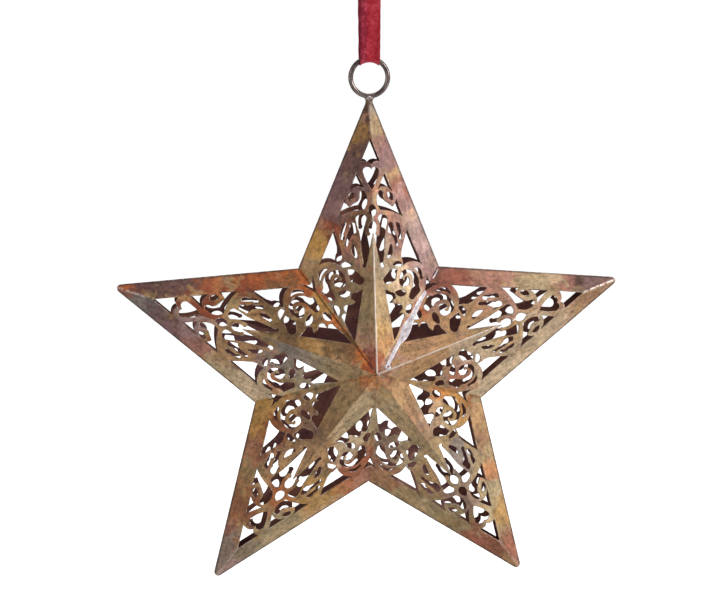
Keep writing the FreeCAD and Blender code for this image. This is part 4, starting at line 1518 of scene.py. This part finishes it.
@dataclass
class Ribbon:
    """The velvet ribbon, one strip folded under the ring's wire and lapped at the back.

    Its creases, sway and waver are calm near the fold and near the top. Steps are the divisions
    of each leg, turn and fold along the strip, and phases are in radians.
    """

    width: float = 5.9 * MM
    thickness: float = 0.34 * MM
    gap: float = 0.10 * MM
    across_steps: int = 14
    along_steps: int = 150
    top_radius: float = 4.5 * MM
    lap: float = 8.0 * MM
    lap_start_share: float = 0.62
    lap_lift_share: float = 1.15
    trough_limit_share: float = 0.9
    lap_steps: int = 30
    top_steps: int = 25
    front_steps: int = 40
    fold_steps: int = 20
    calm_above_fold: float = 1.5 * MM
    ease_above_fold: float = 6.0 * MM
    calm_below_top: float = 2.0 * MM
    ease_below_top: float = 8.0 * MM
    crease_depth: float = 0.30 * MM
    crease_place: float = -0.95 * MM
    crease_width: float = 0.75 * MM
    back_crease_share: float = 0.4
    sway_depth: float = 0.16 * MM
    sway_pitch: float = 7.5 * MM
    sway_phases: tuple[float, float] = (0.6, 2.2)
    waver_depth: float = 0.10 * MM
    waver_pitch: float = 9.0 * MM
    fuzz_depth: float = 0.05 * MM
    fuzz_waves: tuple[float, float, float] = (21000.0, 900.0, 9100.0)

    def _trough(self, x: float) -> float:
        """Distance from the pivot that the ring's wire sweeps at a place across."""
        inner = STAR.ring_mean_radius - STAR.wire_radius
        aside = min(abs(x), inner * self.trough_limit_share)
        return STAR.ring_mean_radius - math.sqrt(inner ** 2 - aside ** 2)

    def _path(self, x: float) -> tuple[list[tuple[float, float]], list[float]]:
        """Side view of the ribbon's middle surface at a place across.

        Args:
            x: Place across, from the ribbon's middle line.

        Returns:
            Points (y, z) from the lap's outer end round to its inner end, and their distances
            along the ribbon.
        """
        half = self.thickness / 2
        pivot, centre = -STAR.loop_length, -self.top_radius
        radius = self._trough(x) + self.gap + half
        top = self.top_radius + half
        lean = math.asin((top - radius) / (centre - pivot))
        foot = (radius * math.cos(lean), pivot - radius * math.sin(lean))
        head = (top * math.cos(lean), centre - top * math.sin(lean))
        lap_end = self.lap_start_share + self.lap / math.dist(foot, head)
        out = self.thickness * self.lap_lift_share

        def leg(share: float, offset: float = 0.0) -> tuple[float, float]:
            """Point at a share of the back leg from its foot up, set off by some metres."""
            return (foot[0] + (head[0] - foot[0]) * share + offset,
                    foot[1] + (head[1] - foot[1]) * share)

        points: list[tuple[float, float]] = []
        for step in shares(self.lap_steps):
            share = self.lap_start_share + (1 - self.lap_start_share) * step
            points.append(leg(share, out * clamped((1 - share) / (1 - lap_end))))
        for step in shares(self.top_steps)[1:-1]:
            angle = (math.pi + 2 * lean) * step - lean
            points.append((top * math.cos(angle), centre + top * math.sin(angle)))
        for step in shares(self.front_steps):
            y, z = leg(1 - step)
            points.append((-y, z))
        for step in shares(self.fold_steps)[1:-1]:
            angle = math.pi + lean + (math.pi - 2 * lean) * step
            points.append((radius * math.cos(angle), pivot + radius * math.sin(angle)))
        points += [leg(lap_end * step) for step in shares(self.lap_steps)]
        runs = [0.0]
        for first, second in zip(points, points[1:]):
            runs.append(runs[-1] + math.dist(first, second))
        return points, runs

    def _place(self, across: float, along: float) -> Vector:
        """Place one point of the strip.

        Args:
            across: Share across, from 0 at the left to 1 at the right.
            along: Share along, from the lap's outer end.

        Returns:
            The point in the part's frame.
        """
        x = (across - 0.5) * self.width
        points, runs = self._path(x)
        target = along * runs[-1]
        index = 0
        while index < len(runs) - 2 and runs[index + 1] < target:
            index += 1
        share = (target - runs[index]) / (runs[index + 1] - runs[index])
        (y, z), (next_y, next_z) = points[index:index + 2]
        y, z = y + (next_y - y) * share, z + (next_z - z) * share
        loose = clamped((z + STAR.loop_length - self.calm_above_fold) / self.ease_above_fold)
        loose *= clamped((-z - self.calm_below_top) / self.ease_below_top)
        crease = math.exp(-((x - self.crease_place) / self.crease_width) ** 2)
        front_phase, back_phase = self.sway_phases
        at_front = y < 0
        y += self.crease_depth * crease * loose * (1.0 if at_front else self.back_crease_share)
        sway = math.sin(z / self.sway_pitch + (front_phase if at_front else back_phase))
        y += self.sway_depth * sway * loose
        x += self.waver_depth * math.sin(z / self.waver_pitch) * loose
        if across in (0.0, 1.0):
            down, round_loop, fine = self.fuzz_waves
            fuzz = math.sin(z * down + along * round_loop) * math.sin(z * fine)
            x += math.copysign(self.fuzz_depth, across - 0.5) * fuzz
        return Vector((x, y, z))

    def build(self) -> None:
        mesh = bmesh.new()
        bmesh.ops.create_grid(
            mesh, x_segments=self.across_steps, y_segments=self.along_steps, size=0.5,
            calc_uvs=False)
        layer = mesh.loops.layers.uv.new("ribbon")
        for face in mesh.faces:
            face.smooth = True
            for loop in face.loops:
                loop[layer].uv = (loop.vert.co.x + 0.5, loop.vert.co.y + 0.5)
        for vertex in mesh.verts:
            vertex.co = self._place(round(vertex.co.x + 0.5, 6), round(vertex.co.y + 0.5, 6))
        piece = to_object("velvet_ribbon", mesh)
        wall = piece.modifiers.new("pile", "SOLIDIFY")
        wall.thickness = self.thickness
        wall.offset = 0.0
        wall.use_even_offset = True
        declare(piece, "ribbon", "ribbon")
        dress(piece, VelvetFinish().material("red_velvet"))
        LOG.info("%s is %.1f mm long when flat", piece.name, self._path(0.0)[1][-1] / MM)


@dataclass(frozen=True)
class Lamp:
    """A soft square lamp: its place from the star's centre, side in metres and watts."""

    name: str
    away: tuple[float, float, float]
    side: float
    power: float

    def hang(self) -> None:
        """Hang the lamp so that it looks at the star."""
        data = bpy.data.lights.new(self.name, "AREA")
        data.shape = "SQUARE"
        data.size = self.side
        data.energy = self.power
        lamp = bpy.data.objects.new(self.name, data)
        away = Vector(self.away)
        lamp.location = STAR.centre + away
        lamp.rotation_euler = (-away).to_track_quat("-Z", "Y").to_euler()
        bpy.context.scene.collection.objects.link(lamp)


@dataclass
class Studio:
    """Pale floor and backdrop, soft lamps and the camera at the photograph's angle.

    The camera's distance, focal length in pixels and the star's centre in the frame come from a
    fit of the star's corners in the photograph.
    """

    floor_drop: float = 0.34
    floor_reach: float = 30.0
    floor_divisions: int = 4
    floor_colour: tuple[float, float, float, float] = (0.80, 0.80, 0.80, 1.0)
    floor_glow: float = 0.75
    sky_light: float = 0.34
    lamps: tuple[Lamp, ...] = (
        Lamp("key", (1.0, -0.75, 0.45), 0.6, 9.0), Lamp("fill", (-1.1, -0.8, 0.1), 0.9, 2.6),
        Lamp("top", (0.1, -0.2, 1.1), 0.8, 3.5), Lamp("behind", (0.3, 1.2, 0.4), 0.9, 3.0))
    azimuth: float = math.radians(-7.4)
    elevation: float = math.radians(9.5)
    roll: float = math.radians(0.13)
    distance: float = 0.85
    sensor_mm: float = 36.0
    clip: tuple[float, float] = (0.01, 50.0)
    focal_pixels: float = 2792.0
    frame_pixels: tuple[int, int] = (702, 598)
    centre_pixels: tuple[float, float] = (368.6, 363.65)

    def build(self) -> None:
        """Make the stage, the lamps and the camera."""
        self._world()
        self._stage()
        for lamp in self.lamps:
            lamp.hang()
        self._camera()
        bpy.context.scene.view_settings.view_transform = "Standard"

    def _world(self) -> None:
        """White to the camera, softer as light."""
        world = bpy.data.worlds.new("studio")
        world.use_nodes = True
        bpy.context.scene.world = world
        tree = Tree(world.node_tree)
        light = world.node_tree.nodes["Background"]
        light.inputs["Color"].default_value = WHITE
        path = tree.node("ShaderNodeLightPath")
        strength = tree.math("MULTIPLY_ADD", path.outputs["Is Camera Ray"],
                             1.0 - self.sky_light, self.sky_light)
        tree.feed(light.inputs["Strength"], strength)

    def _stage(self) -> None:
        """Wide pale floor, which fills the view at the photograph's angle."""
        mesh = bmesh.new()
        bmesh.ops.create_grid(mesh, x_segments=self.floor_divisions,
                              y_segments=self.floor_divisions, size=self.floor_reach)
        bmesh.ops.translate(mesh, vec=(0, 0, -self.floor_drop), verts=mesh.verts)
        floor = to_object("floor", mesh)
        material = bpy.data.materials.new("pale_floor")
        material.use_nodes = True
        tree = Tree(material.node_tree)
        nodes = material.node_tree.nodes
        nodes.remove(nodes["Principled BSDF"])
        matte = tree.node("ShaderNodeBsdfDiffuse")
        matte.inputs["Color"].default_value = self.floor_colour
        glow = tree.node("ShaderNodeEmission")
        path = tree.node("ShaderNodeLightPath")
        tree.feed(glow.inputs["Strength"],
                  tree.times(path.outputs["Is Camera Ray"], self.floor_glow))
        both = tree.node("ShaderNodeAddShader")
        for socket, part in zip(both.inputs, (matte, glow)):
            tree.feed(socket, part.outputs[0])
        tree.feed(nodes["Material Output"].inputs["Surface"], both.outputs[0])
        floor.data.materials.append(material)

    def _camera(self) -> None:
        """Set the camera at the photograph's angle and framing."""
        data = bpy.data.cameras.new("camera")
        width, height = self.frame_pixels
        data.sensor_fit = "HORIZONTAL"
        data.sensor_width = self.sensor_mm
        data.lens = self.focal_pixels / width * self.sensor_mm
        data.shift_x = (width / 2 - self.centre_pixels[0]) / width
        data.shift_y = (self.centre_pixels[1] - height / 2) / width
        data.clip_start, data.clip_end = self.clip
        camera = bpy.data.objects.new("camera", data)
        back = Vector((
            math.sin(self.azimuth) * math.cos(self.elevation),
            -math.cos(self.azimuth) * math.cos(self.elevation),
            math.sin(self.elevation)))
        turn = (-back).to_track_quat("-Z", "Y").to_matrix()
        turn = turn @ Matrix.Rotation(self.roll, 3, "Z")
        place = Matrix.Translation(STAR.centre + back * self.distance)
        camera.matrix_world = place @ turn.to_4x4()
        bpy.context.scene.collection.objects.link(camera)
        bpy.context.scene.camera = camera


def main() -> None:
    """Build and dress the star, light it, and log the pieces' face counts and the ribbon's length.
    """
    logging.basicConfig(level=logging.INFO, format="%(name)s: %(message)s")
    effects = Effects()
    leaves = Leaves()
    leaves.build(effects)
    Solders().build(effects, leaves)
    Ring().build(effects)
    Ribbon().build()
    Studio().build()
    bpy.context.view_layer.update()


if __name__ == "__main__":
    main()
